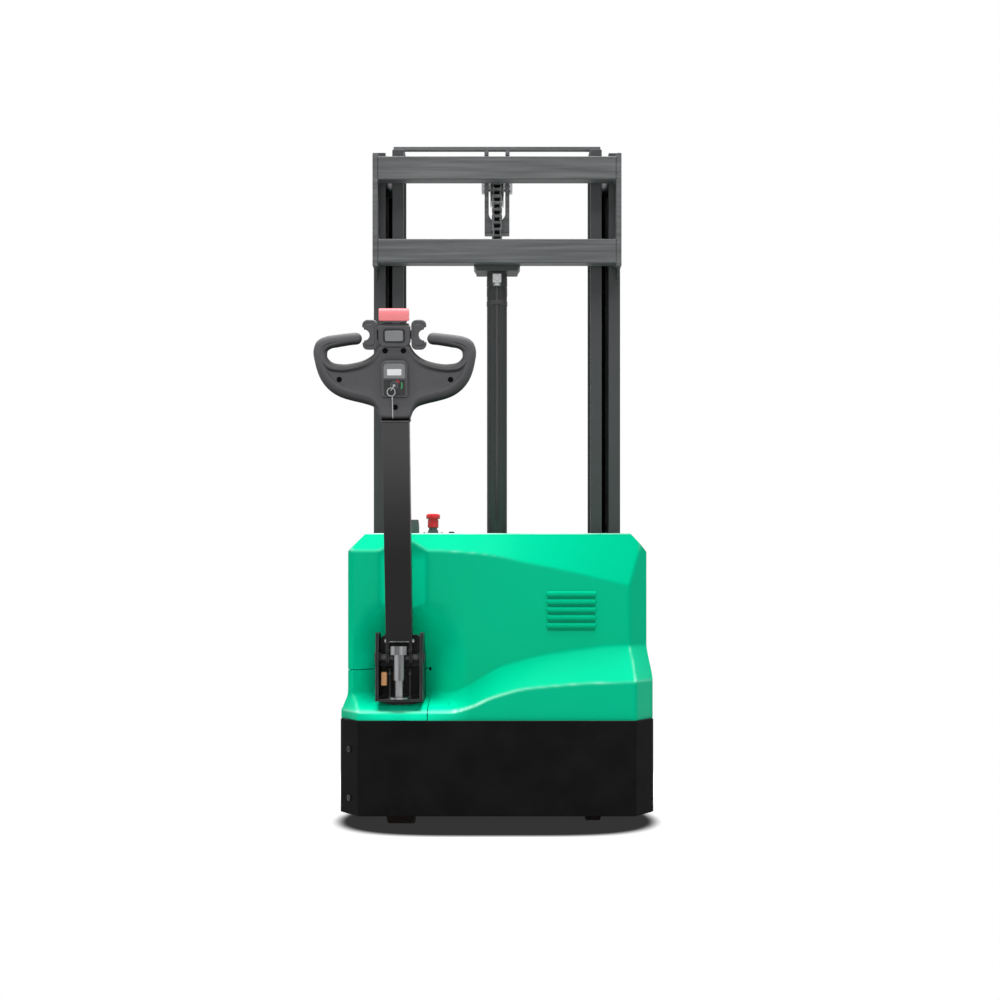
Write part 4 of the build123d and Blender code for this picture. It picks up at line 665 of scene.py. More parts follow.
@dataclass(frozen=True)
class Finish:
    """A surface finish: colours, gloss, fine grain and wear, with painted light and shade on some finishes.
    """

    name: str
    slot: str
    colour: str
    second: str
    rough: float
    rough_drift: float = 0.06
    metal: float = 0.0
    specular: float = 0.5
    coat: float = 0.0
    coat_rough: float = 0.08
    drift: float = 0.5
    drift_scale: float = 9.0
    streak: Grain = Grain.EVEN
    grain: Grain = Grain.EVEN
    grain_scale: float = 900.0
    grain_depth: float = 0.05  # mm
    wear: float = 0.0
    wear_reach: float = 3.0  # mm from an edge
    wear_turn: float = 0.13  # 1 - cosine of the turn that shows fully
    # colour of worn edges and scratches; on the green cover, the colour of its painted crease highlights
    bare_and_highlight: str = "#8a8a88"
    painted_highlight: float = 0.0  # painted highlight along creases that the piece marks
    deep: str = "#000000"  # colour of the painted light in hollows that it marks
    lift: float = 0.0  # how far that painted light shows
    fade: str = ""  # colour over the fade's span, if any
    fade_span: Pair = (0.0, 1.0)  # m
    # pale film on faces that look up: dust, and on the moulded black plastic painted light
    dust_and_top_light: float = 0.0
    under: float = 0.0  # painted shade on faces that look down
    scratch: float = 0.0

    def tone(self, bench: NodeBench) -> Socket:
        """Colour after all the effects that the finish asks for.

        Args:
            bench: where the material's nodes are laid.

        Returns:
            The last effect's colour.
        """
        bare_and_highlight, low, high = linear(self.bare_and_highlight), *self.fade_span
        tone = bench.effect(Effect.TONE, Colour=linear(self.colour), Second=linear(self.second),
                            Scale=self.drift_scale, Stretch=self.streak.value, Amount=self.drift)
        # colour that changes with height; on the arm, painted light on its upper part
        if self.fade:
            other = linear(self.fade)
            tone = bench.effect(Effect.FADE, Colour=tone, Other=other, Low=low, High=high)
        # painted highlight along creases and painted light in hollows, from the skin's UV map
        if self.painted_highlight:
            tone = bench.effect(Effect.PAINTED_LIGHT, Colour=tone, Bright=bare_and_highlight, Amount=self.painted_highlight,
                                Deep=linear(self.deep), Lift=self.lift)
        if self.wear:
            tone = bench.effect(Effect.WEAR, Colour=tone, Bare=bare_and_highlight, Amount=self.wear,
                                Radius=self.wear_reach * MM, Full=self.wear_turn)
        if self.scratch:
            lines = bench.effect(Effect.SCRATCH, Scale=SCRATCH_SCALE, Amount=self.scratch)
            tone = bench.mix(lines, tone, bare_and_highlight)
        # pale film on faces that look up: dust, and on the moulded black plastic painted light
        if self.dust_and_top_light:
            tone = bench.effect(Effect.DUST_AND_TOP_LIGHT, Colour=tone, Dust=DUST_AND_TOP_LIGHT_COLOUR, Amount=self.dust_and_top_light)
        # painted shade on faces that look down
        if self.under:
            tone = bench.effect(Effect.PAINTED_UNDER_SHADE, Colour=tone, Dark=UNDER_SHADE_COLOUR, Amount=self.under)
        return tone

    def material(self) -> bpy.types.Material:
        """The finish as a material, made on first use."""
        found = bpy.data.materials.get(self.name)
        if found:
            return found
        made = bpy.data.materials.new(self.name)
        made.use_nodes = True
        bench = NodeBench(made.node_tree)
        low, high = max(self.rough - self.rough_drift, 0.02), self.rough + self.rough_drift
        gloss = bench.effect(Effect.GLOSS, Scale=self.drift_scale * 3, Low=low, High=high)
        height = bench.effect(Effect.GRAIN, Scale=self.grain_scale, Stretch=self.grain.value)
        bump = bench.add("Bump", {"Height": height, "Distance": self.grain_depth * MM}).outputs[0]
        bench.feed(made.node_tree.nodes["Principled BSDF"], {
            "Base Color": self.tone(bench), "Roughness": gloss, "Normal": bump, "Metallic": self.metal,
            "Specular IOR Level": self.specular, "Coat Weight": self.coat, "Coat Roughness": self.coat_rough})
        return made


# Its pale colour is that of the painted crease highlights; its deep colour, of the painted light in the
# pocket and groove.
GREEN_COVER = Finish(
    "green_cover_gloss", "green_cover", "#00b485", "#00b183", 0.3, 0.02, specular=0.035, drift_scale=4.0,
    grain_scale=260.0, grain_depth=0.02, bare_and_highlight="#e4fff8", painted_highlight=0.95, deep="#00ffc4", lift=0.95)
# Darker green painted shade in the vent openings under the ribs.
LOUVRE_SHADE_GREEN = Finish(
    "louvre_slot_shade", "green_cover", "#008f67", "#008860", 0.5, 0.04, specular=0.05, drift_scale=20.0,
    grain_scale=260.0, grain_depth=0.03)
SKIRT_BLACK = Finish(
    "skirt_black_paint", "black_paint", "#141414", "#1c1c1c", 0.4, 0.04, specular=0.01, drift_scale=14.0,
    grain_scale=420.0, wear=0.3, bare_and_highlight="#4a4a48", scratch=0.05)
BRACKET_BLACK = Finish(
    "bracket_black_paint", "black_paint", "#101011", "#151516", 0.38, 0.05, specular=0.3, grain_scale=480.0,
    wear=0.6, dust_and_top_light=0.02)
MAST_GREY = Finish(
    "mast_grey_paint", "mast_paint", "#424344", "#3e3f40", 0.45, 0.03, specular=0.15, grain_scale=380.0,
    grain_depth=0.06, wear=0.35, bare_and_highlight="#77777a", dust_and_top_light=0.02, scratch=0.05)
BEAM_GREY = Finish(
    "beam_grey_paint", "mast_paint", "#626364", "#4b4c4d", 0.45, 0.03, specular=0.18, drift=0.9,
    drift_scale=90.0, streak=Grain.ACROSS, grain=Grain.ACROSS, grain_scale=160.0, grain_depth=0.12,
    wear=0.35, bare_and_highlight="#8b8b8e", dust_and_top_light=0.02, scratch=0.08)
# The arm's fade to a lighter grey towards its top is painted light.
ARM_BLACK = Finish(
    "arm_black_paint", "mast_paint", "#181717", "#1b1a1a", 0.36, 0.03, specular=0.2, drift_scale=12.0,
    grain_scale=420.0, wear=0.45, bare_and_highlight="#6f6f6e", fade="#454444", fade_span=(0.66, 1.02), dust_and_top_light=0.02)
FORK_PAINT = Finish(
    "fork_worn_paint", "mast_paint", "#3b3c3e", "#333436", 0.48, 0.08, specular=0.25, drift_scale=6.0,
    grain_scale=300.0, grain_depth=0.08, wear=0.7, bare_and_highlight="#9a9a98", dust_and_top_light=0.06, scratch=0.35)
# Painted light on faces that look up, through the dust film, and painted shade on faces that look down.
MOULDED_BLACK = Finish(
    "moulded_black_plastic", "black_plastic", "#5f5f61", "#5b5b5d", 0.5, 0.04, specular=0.08,
    drift_scale=8.0, grain_depth=0.09, dust_and_top_light=0.12, under=0.94)
DARK_PLASTIC = Finish(
    "dark_switch_plastic", "black_plastic", "#232325", "#1d1d1f", 0.42, 0.05, drift_scale=10.0,
    grain_scale=1100.0, dust_and_top_light=0.03)
RED_GLOSS = Finish(
    "red_button_plastic", "red_plastic", "#d61f24", "#cb1a1f", 0.26, 0.03, specular=0.35, coat=0.25,
    drift_scale=12.0, grain_scale=500.0, grain_depth=0.02, dust_and_top_light=0.03)
GREY_PLASTIC = Finish(
    "grey_button_plastic", "grey_plastic", "#7c7d7f", "#737476", 0.45, 0.05, drift_scale=12.0, dust_and_top_light=0.04)
CASE_GREY = Finish(
    "case_grey_plastic", "grey_plastic", "#4c4f52", "#44474a", 0.5, 0.07, drift_scale=4.0, grain_scale=500.0,
    grain_depth=0.06, dust_and_top_light=0.15)
PLATED_STEEL = Finish(
    "plated_steel", "bright_steel", "#b9babb", "#a5a6a8", 0.3, 0.08, metal=1.0, drift_scale=14.0,
    grain=Grain.UPRIGHT, grain_depth=0.02, dust_and_top_light=0.03)
SPRING_STEEL = Finish(
    "knurled_spring_steel", "bright_steel", "#a3a4a6", "#5c5d5f", 0.34, 0.08, metal=1.0, drift=0.9,
    drift_scale=120.0, streak=Grain.UPRIGHT, grain_scale=600.0, grain_depth=0.2, dust_and_top_light=0.02)
CHROME_ROD = Finish(
    "chrome_rod", "bright_steel", "#c9cacc", "#bfc0c2", 0.12, 0.03, metal=1.0, drift_scale=6.0,
    grain=Grain.UPRIGHT, grain_scale=1400.0, grain_depth=0.006, dust_and_top_light=0.02)
TURNED_STEEL = Finish(
    "turned_roller_steel", "roller_steel", "#8e8f91", "#7c7d80", 0.34, 0.08, metal=1.0, grain=Grain.ACROSS,
    grain_scale=800.0, grain_depth=0.03, dust_and_top_light=0.04)
OILED_CHAIN = Finish(
    "oiled_chain_steel", "chain_steel", "#6d6e70", "#4a4b4c", 0.36, 0.08, metal=0.7, drift=0.8,
    drift_scale=30.0, grain_depth=0.04, wear=0.6, bare_and_highlight="#a9a9a8", dust_and_top_light=0.02)
TYRE = Finish(
    "cast_polyurethane", "polyurethane", "#2a211c", "#231b17", 0.46, specular=0.3, drift_scale=7.0,
    grain_scale=260.0, grain_depth=0.08, wear=0.25, bare_and_highlight="#3b2a1c", dust_and_top_light=0.12)
HUB_CAST = Finish(
    "cast_hub_iron", "roller_steel", "#56585b", "#4a4c4f", 0.55, 0.08, metal=0.6, grain_scale=300.0,
    grain_depth=0.12, dust_and_top_light=0.08)
MOTOR_CAST = Finish(
    "motor_casting", "motor_casting", "#6a6d70", "#5d6063", 0.5, 0.08, metal=0.5, drift_scale=7.0,
    grain_scale=260.0, grain_depth=0.14, dust_and_top_light=0.1)
DISPLAY_PALE = Finish(
    "display_pale_window", "grey_plastic", "#e6e7e8", "#dfe0e1", 0.16, 0.03, coat=0.5, drift_scale=30.0,
    grain_depth=0.004)
GREEN_MARK = Finish(
    "green_print", "grey_plastic", "#2f9a4f", "#2a9048", 0.4, 0.05, drift_scale=40.0, grain_scale=1500.0,
    grain_depth=0.01)
# Its base colour is the button's red lightened to pink as painted reflection of its gloss.
BELLY_RED = Finish(
    "belly_button_red", "red_plastic", "#f4767c", "#ee6e74", 0.25, 0.03, specular=0.8, coat=1.0,
    coat_rough=0.2, drift_scale=12.0, grain_scale=500.0, grain_depth=0.02)
RED_MARK = Finish(
    "red_print", "red_plastic", "#b01d22", "#a4181d", 0.4, 0.05, drift_scale=40.0, grain_scale=1500.0,
    grain_depth=0.01)
TAN_MOULDING = Finish(
    "tan_switch_moulding", "grey_plastic", "#bd8a58", "#b07c4b", 0.45, drift_scale=30.0, grain_scale=700.0,
    dust_and_top_light=0.04)
# Near-black painted shade for recesses, gaps and slots that would show through.
PAINTED_SHADE_BLACK = Finish(
    "painted_shade_black", "black_plastic", "#060606", "#0a0a0a", 0.6, 0.05, specular=0.05, drift_scale=20.0)


# Pieces

def round_edges(obj: Piece, width: float, segments: int = 2, angle: float = 30.0) -> None:
    """Bevel a piece's sharp edges by a width in mm.

    Args:
        obj: the piece.
        width: width of the bevel.
        segments: steps across it.
        angle: degrees over which an edge counts as sharp.
    """
    bevel = obj.modifiers.new("rounded_edges", "BEVEL")
    bevel.width = width * MM
    bevel.segments = segments
    bevel.limit_method = "ANGLE"
    bevel.angle_limit = np.radians(angle)
    bevel.harden_normals = True


def put(data: bpy.types.ID, name: str) -> Piece:
    """New object for some data, in the scene."""
    obj = bpy.data.objects.new(name, data)
    bpy.context.scene.collection.objects.link(obj)
    return obj


def mesh_of(name: str, form: Form) -> bpy.types.Mesh:
    """Mesh of a form's points and faces."""
    mesh = bpy.data.meshes.new(name)
    mesh.from_pydata(form.points.tolist(), [], form.faces)
    return mesh


def settle(mesh: bpy.types.Mesh, solid: bool, sharp: float) -> None:
    """Join a mesh's doubled points and shade it smooth up to an angle.

    Args:
        mesh: the mesh to settle.
        solid: whether it is a solid's mesh, whose flat seams are cleared; otherwise faces turn outwards.
        sharp: degrees over which an edge stays sharp.
    """
    merge = (SOLID_MERGE if solid else MERGE) * MM
    work = bmesh.new()
    work.from_mesh(mesh)
    bmesh.ops.remove_doubles(work, verts=work.verts, dist=merge)
    bmesh.ops.dissolve_degenerate(work, edges=work.edges, dist=merge)
    if solid:
        bmesh.ops.dissolve_limit(work, angle_limit=np.radians(SOLID_FLAT), verts=work.verts, edges=work.edges)
    else:
        bmesh.ops.recalc_face_normals(work, faces=work.faces)
    work.to_mesh(mesh)
    work.free()
    mesh.polygons.foreach_set("use_smooth", np.ones(len(mesh.polygons), bool))
    mesh.set_sharp_from_angle(angle=np.radians(sharp))


def add_piece(name: str, shape: Form | bpy.types.Mesh, finish: Finish, body: str, nodes: Sequence[str] = (),
              bevel: float = 0.0, segments: int = 2, sharp: float = 40.0) -> Piece:
    """Make a piece.

    Args:
        name: the piece's name.
        shape: its form, or a copy of a solid's mesh.
        finish: its finish.
        body: the body that it rides on.
        nodes: solids that it stands for.
        bevel: edge rounding in mm, 0 for none.
        segments: steps in that rounding.
        sharp: degrees over which an edge stays sharp.

    Returns:
        The new object.
    """
    solid = isinstance(shape, bpy.types.Mesh)
    mesh = shape if solid else mesh_of(name, shape)
    mesh.name = name
    settle(mesh, solid, sharp)
    obj = put(mesh, name)
    if bevel:
        round_edges(obj, bevel, segments)
    mesh.materials.clear()
    mesh.materials.append(finish.material())
    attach(obj, body)
    if nodes:
        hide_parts(*nodes)
    log.info("%s on %s", obj.name, body)
    return obj


def carry(finish: Finish, bevel: float, *nodes: str, segments: int = 2) -> list[Piece]:
    """Stand a copy with rounded edges in the place of each of some solids.

    Args:
        finish: finish of the copies.
        bevel: edge rounding in mm.
        nodes: the solids' names.
        segments: steps in that rounding.

    Returns:
        The copies.
    """
    copies = []
    for node in nodes:
        source = frame["nodes"][node]
        mesh = source.data.copy()
        copies.append(add_piece(node + "_rounded", mesh, finish, source["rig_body"], [node], bevel, segments,
                                SOLID_SHARP))
    return copies


# Sub-assemblies

@dataclass
class Covers:
    """Green main cover and service cover, with the seam between them and the louvres."""

    low_half: float = 400.0
    steady: float = 325.0  # columns inside this x stay upright
    bottom: float = 274.0
    top: float = 750.0
    front: float = 395.0
    rear: float = 95.0
    ledge_rear: float = 10.0
    bevel_depth: float = 45.0
    chamfer_start: float = 702.0
    chamfer_width: float = 43.0
    wall: float = 4.0
    edge: float = 0.7  # rounding of the wall's edges
    pitch: float = 3.5  # of the grid
    low_corner: Triple = (349.0, 51.0, 85.0)  # a corner plane's start, run and fall
    right_corner: Triple = (340.0, 50.0, 55.0)
    left_corner: Triple = (372.0, 1.0, 1.0)
    # The crease fields shape the painted highlight along the cover's creases; groove_light and pocket_light
    # shape the painted light in the groove and the pocket.
    crease_least: float = 0.25  # bend that begins to catch the light
    crease_most: float = 0.7  # bend past that where it catches all of it
    crease_gain: float = 1.6
    crease_power: float = 2.5  # draws the light in to a line
    crease_lean: float = 2.0  # how soon a leaning skin counts sideways bends
    crease_top: float = 0.85  # share along the top edge
    crease_gap: Pair = (10.0, 60.0)  # no light this far beside and over the groove's foot
    groove_light: float = 0.4  # share of painted hollow light in the groove
    groove_ease: Triple = (12.0, 25.0, 10.0)  # its fade from the flanks, under the top and over the foot
    pocket_light: float = 0.55  # power of the pocket's depth that its painted light goes by
    seam_x: float = -176.0
    seam_z: float = 396.0
    seam: float = 2.0
    hole: float = 4.5  # half the small square hole where the seams meet
    steer_x: float = -246.0
    pocket_floor: float = 314.0
    pocket_right: float = 180.0  # half the pocket's mouth, on either side of the steering axis
    pocket_left: float = 140.0
    pocket_depth: float = 113.0
    pocket_top: float = 590.0
    pocket_fall: float = 60.0  # how far the pocket's upper edge drops at its ends
    ceiling: float = 118.0  # height over which the pocket deepens
    foot: float = 20.0
    shelf_hollow: float = 0.35  # how far the shelf's slope is a quarter round
    shelf_fade: Pair = (-130.0, 120.0)  # where that starts to fade to the right, and over how much
    groove_x: float = -241.0
    groove_half: float = 63.0
    groove_floor: float = 20.0
    groove_depth: float = 25.0
    groove_foot: float = 527.0
    groove_slope: float = 0.5
    wave_low: tuple = ((-400, 297), (-115, 297), (-70, 307), (-18, 329), (10, 338), (63, 352), (143, 361),
                       (221, 367), (348, 371), (400, 372))
    wave_high: tuple = ((-400, 334), (-125, 336), (-87, 347), (-44, 371), (10, 402), (64, 419), (146, 438.5),
                        (226, 451), (290, 457.5), (400, 460))
    bevel_line: tuple = ((-400, 703), (-147, 703), (-95, 700), (-44, 695.6), (8, 688), (64, 675), (167, 654),
                         (280, 628), (340, 614), (400, 600))
    left_edge: tuple = ((274, 400), (292, 400), (306, 395), (336, 385), (350, 384), (702, 384))
    right_edge: tuple = ((274, 400), (371, 400), (459, 390), (702, 390))
    side_steps: tuple = (0.0, 0.015, 0.03, 0.06, 0.12, 0.22, 0.34, 0.48, 0.62, 0.76, 0.88, 1.0)
    louvre_x: float = 191.0
    louvre_z: float = 552.5
    louvre_count: int = 5
    louvre_pitch: float = 20.3
    louvre_length: float = 131.0
    louvre_height: float = 12.5
    louvre_depth: float = 6.5
    louvre_sunk: float = 1.0  # how far its edge lies in the face
    slot_inset: float = 4.0
    slot_half: float = 4.5
    slot_corners: Pair = (3.0, 3.0)
    slot_span: Pair = (-0.6, 2.0)  # from the face
    # The backing is a strip of painted shade behind the seam's gap.
    backing_low: Pair = (-6.0, 4.4)  # from the seam and from the ledge's face
    backing_high: Pair = (8.0, 6.0)
    backing_top: float = 292.0

    def depth(self, x: Array, z: Array, pocketed: bool = True) -> Array:
        """Where the cover's rear side starts, as a function of x and height.

        The face stands at the ledge's rear below the wave's lower line and at the upper face over its
        upper line, with an eased ramp between. Corner planes, the top bevel, the flat-floored groove and
        the pocket each push it forwards, so the result is the largest of them.

        Args:
            x, z: grids of mm across and over the floor.
            pocketed: whether the pocket counts.

        Returns:
            Grid of s in mm.
        """
        def plane(level: float, corner: Triple, reach: Array) -> Array:
            """Corner plane that leaves a level at its start."""
            start, run, fall = corner
            return level + fall * (reach - start) / run

        low = curve_through(self.wave_low, x)
        high = curve_through(self.wave_high, x)
        ramp = np.clip((z - low) / (high - low), 0, 1)
        hollow = np.sqrt(np.clip(1 - (1 - ramp) ** 2, 0, 1))
        start, run = self.shelf_fade
        share = self.shelf_hollow * (1 - np.clip((x - start) / run, 0, 1))
        ramp = hollow * share + ramp * (1 - share)
        face = self.ledge_rear + (self.rear - self.ledge_rear) * ramp
        right, left = plane(self.rear, self.right_corner, x), plane(self.rear, self.left_corner, -x)
        upper = np.where(x > 0, right, left)
        corner = plane(self.ledge_rear, self.low_corner, np.abs(x)) * (1 - ramp) + upper * ramp
        crease = curve_through(self.bevel_line, x)
        bevel = self.rear + self.bevel_depth * (z - crease) / (self.top - crease)
        depth = np.maximum(np.maximum(face, corner), np.where(z > crease, bevel, 0))
        across = np.abs(x - self.groove_x)
        flank = np.clip((self.groove_half - across) / (self.groove_half - self.groove_floor), 0, 1)
        foot = self.groove_foot + self.groove_slope * (across - self.groove_floor)
        grooved = (across < self.groove_half) & (z > foot)
        depth = np.maximum(depth, np.where(grooved, self.rear + self.groove_depth * flank, 0))
        scoop = self.scoop(x, z)
        rise = np.clip(1 - (z - self.pocket_floor) / self.foot, 0, 1)
        pocket = face + (self.pocket_depth - self.foot * (1 - np.sqrt(1 - rise**2))) * scoop
        inside = (z > self.pocket_floor) & (scoop > 0) & pocketed
        return np.maximum(depth, np.where(inside, pocket, 0))

    def scoop(self, x: Array, z: Array) -> Array:
        """Share of the pocket's depth at each point.

        A bell about the steering axis, (1 + cos(pi off / mouth)) / 2, wider on the right than on the
        left, that eases in below its upper edge.

        Args:
            x, z: grids of mm across and over the floor.

        Returns:
            Grid of shares between 0 and 1.
        """
        side = x - self.steer_x
        off = np.clip(np.where(side > 0, side / self.pocket_right, -side / self.pocket_left), 0, 1)
        edge = self.pocket_top - self.pocket_fall * off**2
        under = np.clip((edge - z) / self.ceiling, 0, 1)
        return (0.5 + 0.5 * np.cos(np.pi * off)) * under * under * (3 - 2 * under)

    def spread(self, flat: Array, rows: Array) -> tuple[Array, Array]:
        """Grids of x and height for columns and rows.

        Columns inside the steady width stay upright. The outer ones follow the cover's left or right
        edge at each height, in proportion to how far out they lie.

        Args:
            flat: x of each column where the cover is widest.
            rows: height of each row.

        Returns:
            Grids of x and z, in mm.
        """
        chamfer = np.clip((rows - self.chamfer_start) / (self.top - self.chamfer_start), 0, 1)
        left, right = (curve_through(edge, rows) - chamfer * self.chamfer_width
                       for edge in (self.left_edge, self.right_edge))
        reach = np.abs(flat)
        beyond = np.clip((reach - self.steady) / (self.low_half - self.steady), 0, 1)
        edge = np.where(flat < 0, left[:, None], right[:, None])
        x = np.sign(flat) * (np.minimum(reach, self.steady) + beyond * (edge - self.steady))
        return x, np.repeat(rows[:, None], len(flat), axis=1)

    def creases(self, s: Array) -> Array:
        """Share of painted highlight at each grid point's crease.

        The bend is the second difference of depth over the pitch, along rows and columns, where it turns
        away from the viewer. The bend along a row counts only as far as the skin leans back there.

        Args:
            s: depth of each point of the even grid.

        Returns:
            Grid of shares between 0 and 1.
        """
        bend, sideways = np.zeros_like(s), np.zeros_like(s)
        bend[1:-1] = (s[2:] - 2 * s[1:-1] + s[:-2]) / self.pitch
        sideways[:, 1:-1] = (s[:, 2:] - 2 * s[:, 1:-1] + s[:, :-2]) / self.pitch
        lean = np.clip(np.gradient(s, axis=0) / self.pitch * self.crease_lean, 0, 1)
        bend = np.clip(np.maximum(bend, sideways * lean) - self.crease_least, 0, self.crease_most)
        share = np.clip(self.crease_gain * soften(bend, 1), 0, 1) ** self.crease_power
        share[-1] = self.crease_top
        return share

    def line_share(self, x: Array, z: Array) -> Array:
        """Shares of painted crease highlight on the skin without its pocket, none along the groove's foot."""
        beside, over = self.crease_gap
        foot = (np.abs(x - self.groove_x) < self.groove_half + beside) & (np.abs(z - self.groove_foot) < over)
        return np.where(foot, 0, self.creases(self.depth(x, z, False)))

    def hollow_share(self, x: Array, z: Array) -> Array:
        """Share of painted light in the pocket, by a power of its depth, and in the groove between its
        flanks.

        Args:
            x, z: places on the cover's back.

        Returns:
            The larger share at each place.
        """
        side, under, over = self.groove_ease
        flank = np.clip((self.groove_half - np.abs(x - self.groove_x)) / side, 0, 1)
        height = np.clip((self.chamfer_start - z) / under, 0, 1) * (z > self.groove_foot + over)
        return np.maximum(self.scoop(x, z) ** self.pocket_light, self.groove_light * flank * height)

    def mark(self, obj: Piece, walls: Array, share: Array) -> None:
        """Keep each point's shares of painted crease highlight and painted pocket light in the piece's UV
        map, matched by place.

        Args:
            obj: a cover.
            walls: grid points that the shares belong to.
            share: two values for each of them.
        """
        def keys(points: Array) -> Array:
            """One whole number for each place: its three coordinates to 0.01 mm, in six digits each."""
            return np.round(points.reshape(-1, 3) * 1e5).astype(np.int64) @ np.array([1, 10**6, 10**12])

        mesh = obj.data
        points = np.empty(len(mesh.vertices) * 3)
        mesh.vertices.foreach_get("co", points)
        known, wanted = keys(walls), keys(points)
        order = np.argsort(known)
        spot = np.clip(np.searchsorted(known[order], wanted), 0, len(known) - 1)
        value = np.where((known[order][spot] == wanted)[:, None], share.reshape(-1, 2)[order][spot], 0)
        corner = np.empty(len(mesh.loops), np.int32)
        mesh.loops.foreach_get("vertex_index", corner)
        flat = value[corner].astype(np.float32)
        mesh.uv_layers.new(name=PAINTED_LIGHT_UV).data.foreach_set("uv", flat.ravel())

    def skin(self) -> tuple[Array, Array, Array, Array]:
        """Grid of the cover's outer skin.

        Rows climb from the deck to the top edge. Columns run along the left side to the rear, across the
        rear by depth(x, z), and forwards along the right side. The side columns lie between the rear
        corner and the front by fixed shares of that length.

        Returns:
            Points of the walls (rows x columns x 3), points of the top, the flat x of each column, and the
            shares of painted crease highlight and painted hollow light at each wall point.
        """
        even_x, even_z = (np.linspace(low, high, int((high - low) / self.pitch) + 1)
                          for low, high in ((-self.low_half, self.low_half), (self.bottom, self.top)))
        lines = np.array([0, self.seam, -self.hole, self.seam + self.hole])
        flat = np.unique(np.concatenate([even_x, self.seam_x + lines]))
        rows = np.unique(np.concatenate([even_z, self.seam_z + lines]))

        def read(values: Array) -> Array:
            """Values of the even grid at the rows and columns with the seam's lines."""
            return between(between(values, even_z, rows, 0), even_x, flat, 1)

        even = self.spread(even_x, even_z)
        x, z = self.spread(flat, rows)
        s = read(soften(self.depth(*even), 1))
        share = np.stack([read(self.line_share(*even)), read(self.hollow_share(*even))], axis=-1)
        steps = np.array(self.side_steps)
        sides = []
        for column, order in ((0, slice(None, 0, -1)), (-1, slice(1, None))):
            start = s[:, column, None]
            sides.append(place(x[:, column, None], start + (self.front - start) * steps[order], z[:, :1]))
        walls = np.concatenate([sides[0], place(x, s, z), sides[1]], axis=1)
        roof = place(x[-1:], s[-1] + (self.front - s[-1]) * steps[:, None], self.top)
        count = len(steps) - 1
        columns = np.pad(flat, count, mode="edge")
        return walls, roof, columns, np.pad(share, ((0, 0), (count, count), (0, 0)))

    def split(self, walls: Array, columns: Array) -> list[Form]:
        """Part the walls along the seam.

        A face belongs to the service cover where it lies left of the upright seam and under the level
        one, and faces in the seam's gap or the small square hole are left out.

        Args:
            walls: points of the walls.
            columns: flat x of each column.

        Returns:
            Main cover's walls and the service cover.
        """
        form = lattice(walls)
        rows = walls[:, 0, 2] / MM
        x, z = np.meshgrid((columns[1:] + columns[:-1]) / 2, (rows[1:] + rows[:-1]) / 2)
        low = (x < self.seam_x) & (z < self.seam_z)
        high = (x > self.seam_x + self.seam) | (z > self.seam_z + self.seam)
        near = (np.abs(x - self.seam_x) < self.hole) & (np.abs(z - self.seam_z) < self.hole)
        parts = []
        for mask in (high & ~near, low & ~near):
            kept = np.array(form.faces)[mask.ravel()]
            used, again = np.unique(kept, return_inverse=True)
            parts.append(Form(form.points[used], again.reshape(kept.shape).tolist()))
        return parts

    def thicken(self, obj: Piece) -> None:
        """Give a cover its wall, inwards, and soft outer edges.

        Args:
            obj: the cover.
        """
        solid = obj.modifiers.new("wall", "SOLIDIFY")
        solid.thickness = self.wall * MM
        solid.offset = -1.0
        round_edges(obj, self.edge, angle=SOLID_SHARP)

    def louvre(self, z: float) -> Form:
        """One vent rib.

        Its section is half an ellipse on the face, and both its axes shrink over a rounded end by the root
        of 1 - (distance into the end)^2.

        Args:
            z: height of the rib's middle.

        Returns:
            The rib, open only where it meets the face.
        """
        x = self.louvre_length / 2 * np.sin(np.linspace(-np.pi / 2, np.pi / 2, 65))
        end = self.louvre_height / 2
        into = np.clip((np.abs(x) - (self.louvre_length / 2 - end)) / end, 0, 1)
        swell = np.sqrt(1 - into**2)
        angle = np.linspace(0, np.pi, 15)[:, None]
        out = self.louvre_depth * np.sin(angle) * swell - self.louvre_sunk
        return lattice(place(self.louvre_x + x, self.rear - out, z + end * np.cos(angle) * swell))

    def slot(self, z: float) -> Form:
        """Darker green plate under the rib at a height, painted shade of the vent's opening."""
        half = (self.louvre_length / 2 - self.slot_inset, self.slot_half)
        span = tuple(self.rear + level for level in self.slot_span)
        return plate((self.louvre_x, z - self.louvre_pitch / 2), half, self.slot_corners, span)

    def build(self) -> None:
        """Make the covers, the hoods, the slots of painted shade under them and the dark strip of painted
        shade behind the seam.
        """
        walls, roof, columns, share = self.skin()
        main, service = self.split(walls, columns)
        for node, form in (("main_cover", main + lattice(roof)), ("service_cover", service)):
            obj = add_piece(node + "_skin", form, GREEN_COVER, "chassis", [node], sharp=50)
            self.mark(obj, walls, share)
            self.thicken(obj)
        steps = np.arange(self.louvre_count) - (self.louvre_count - 1) / 2
        heights = self.louvre_z + steps * self.louvre_pitch
        add_piece("vent_hoods", join(map(self.louvre, heights)), GREEN_COVER, "chassis", sharp=60)
        add_piece("vent_slot_shade", join(map(self.slot, heights)), LOUVRE_SHADE_GREEN, "chassis")
        start = np.array([self.seam_x, self.ledge_rear])
        low, high = (*start + self.backing_low, self.bottom), (*start + self.backing_high, self.backing_top)
        add_piece("seam_shade_strip", block(low, high), PAINTED_SHADE_BLACK, "chassis")


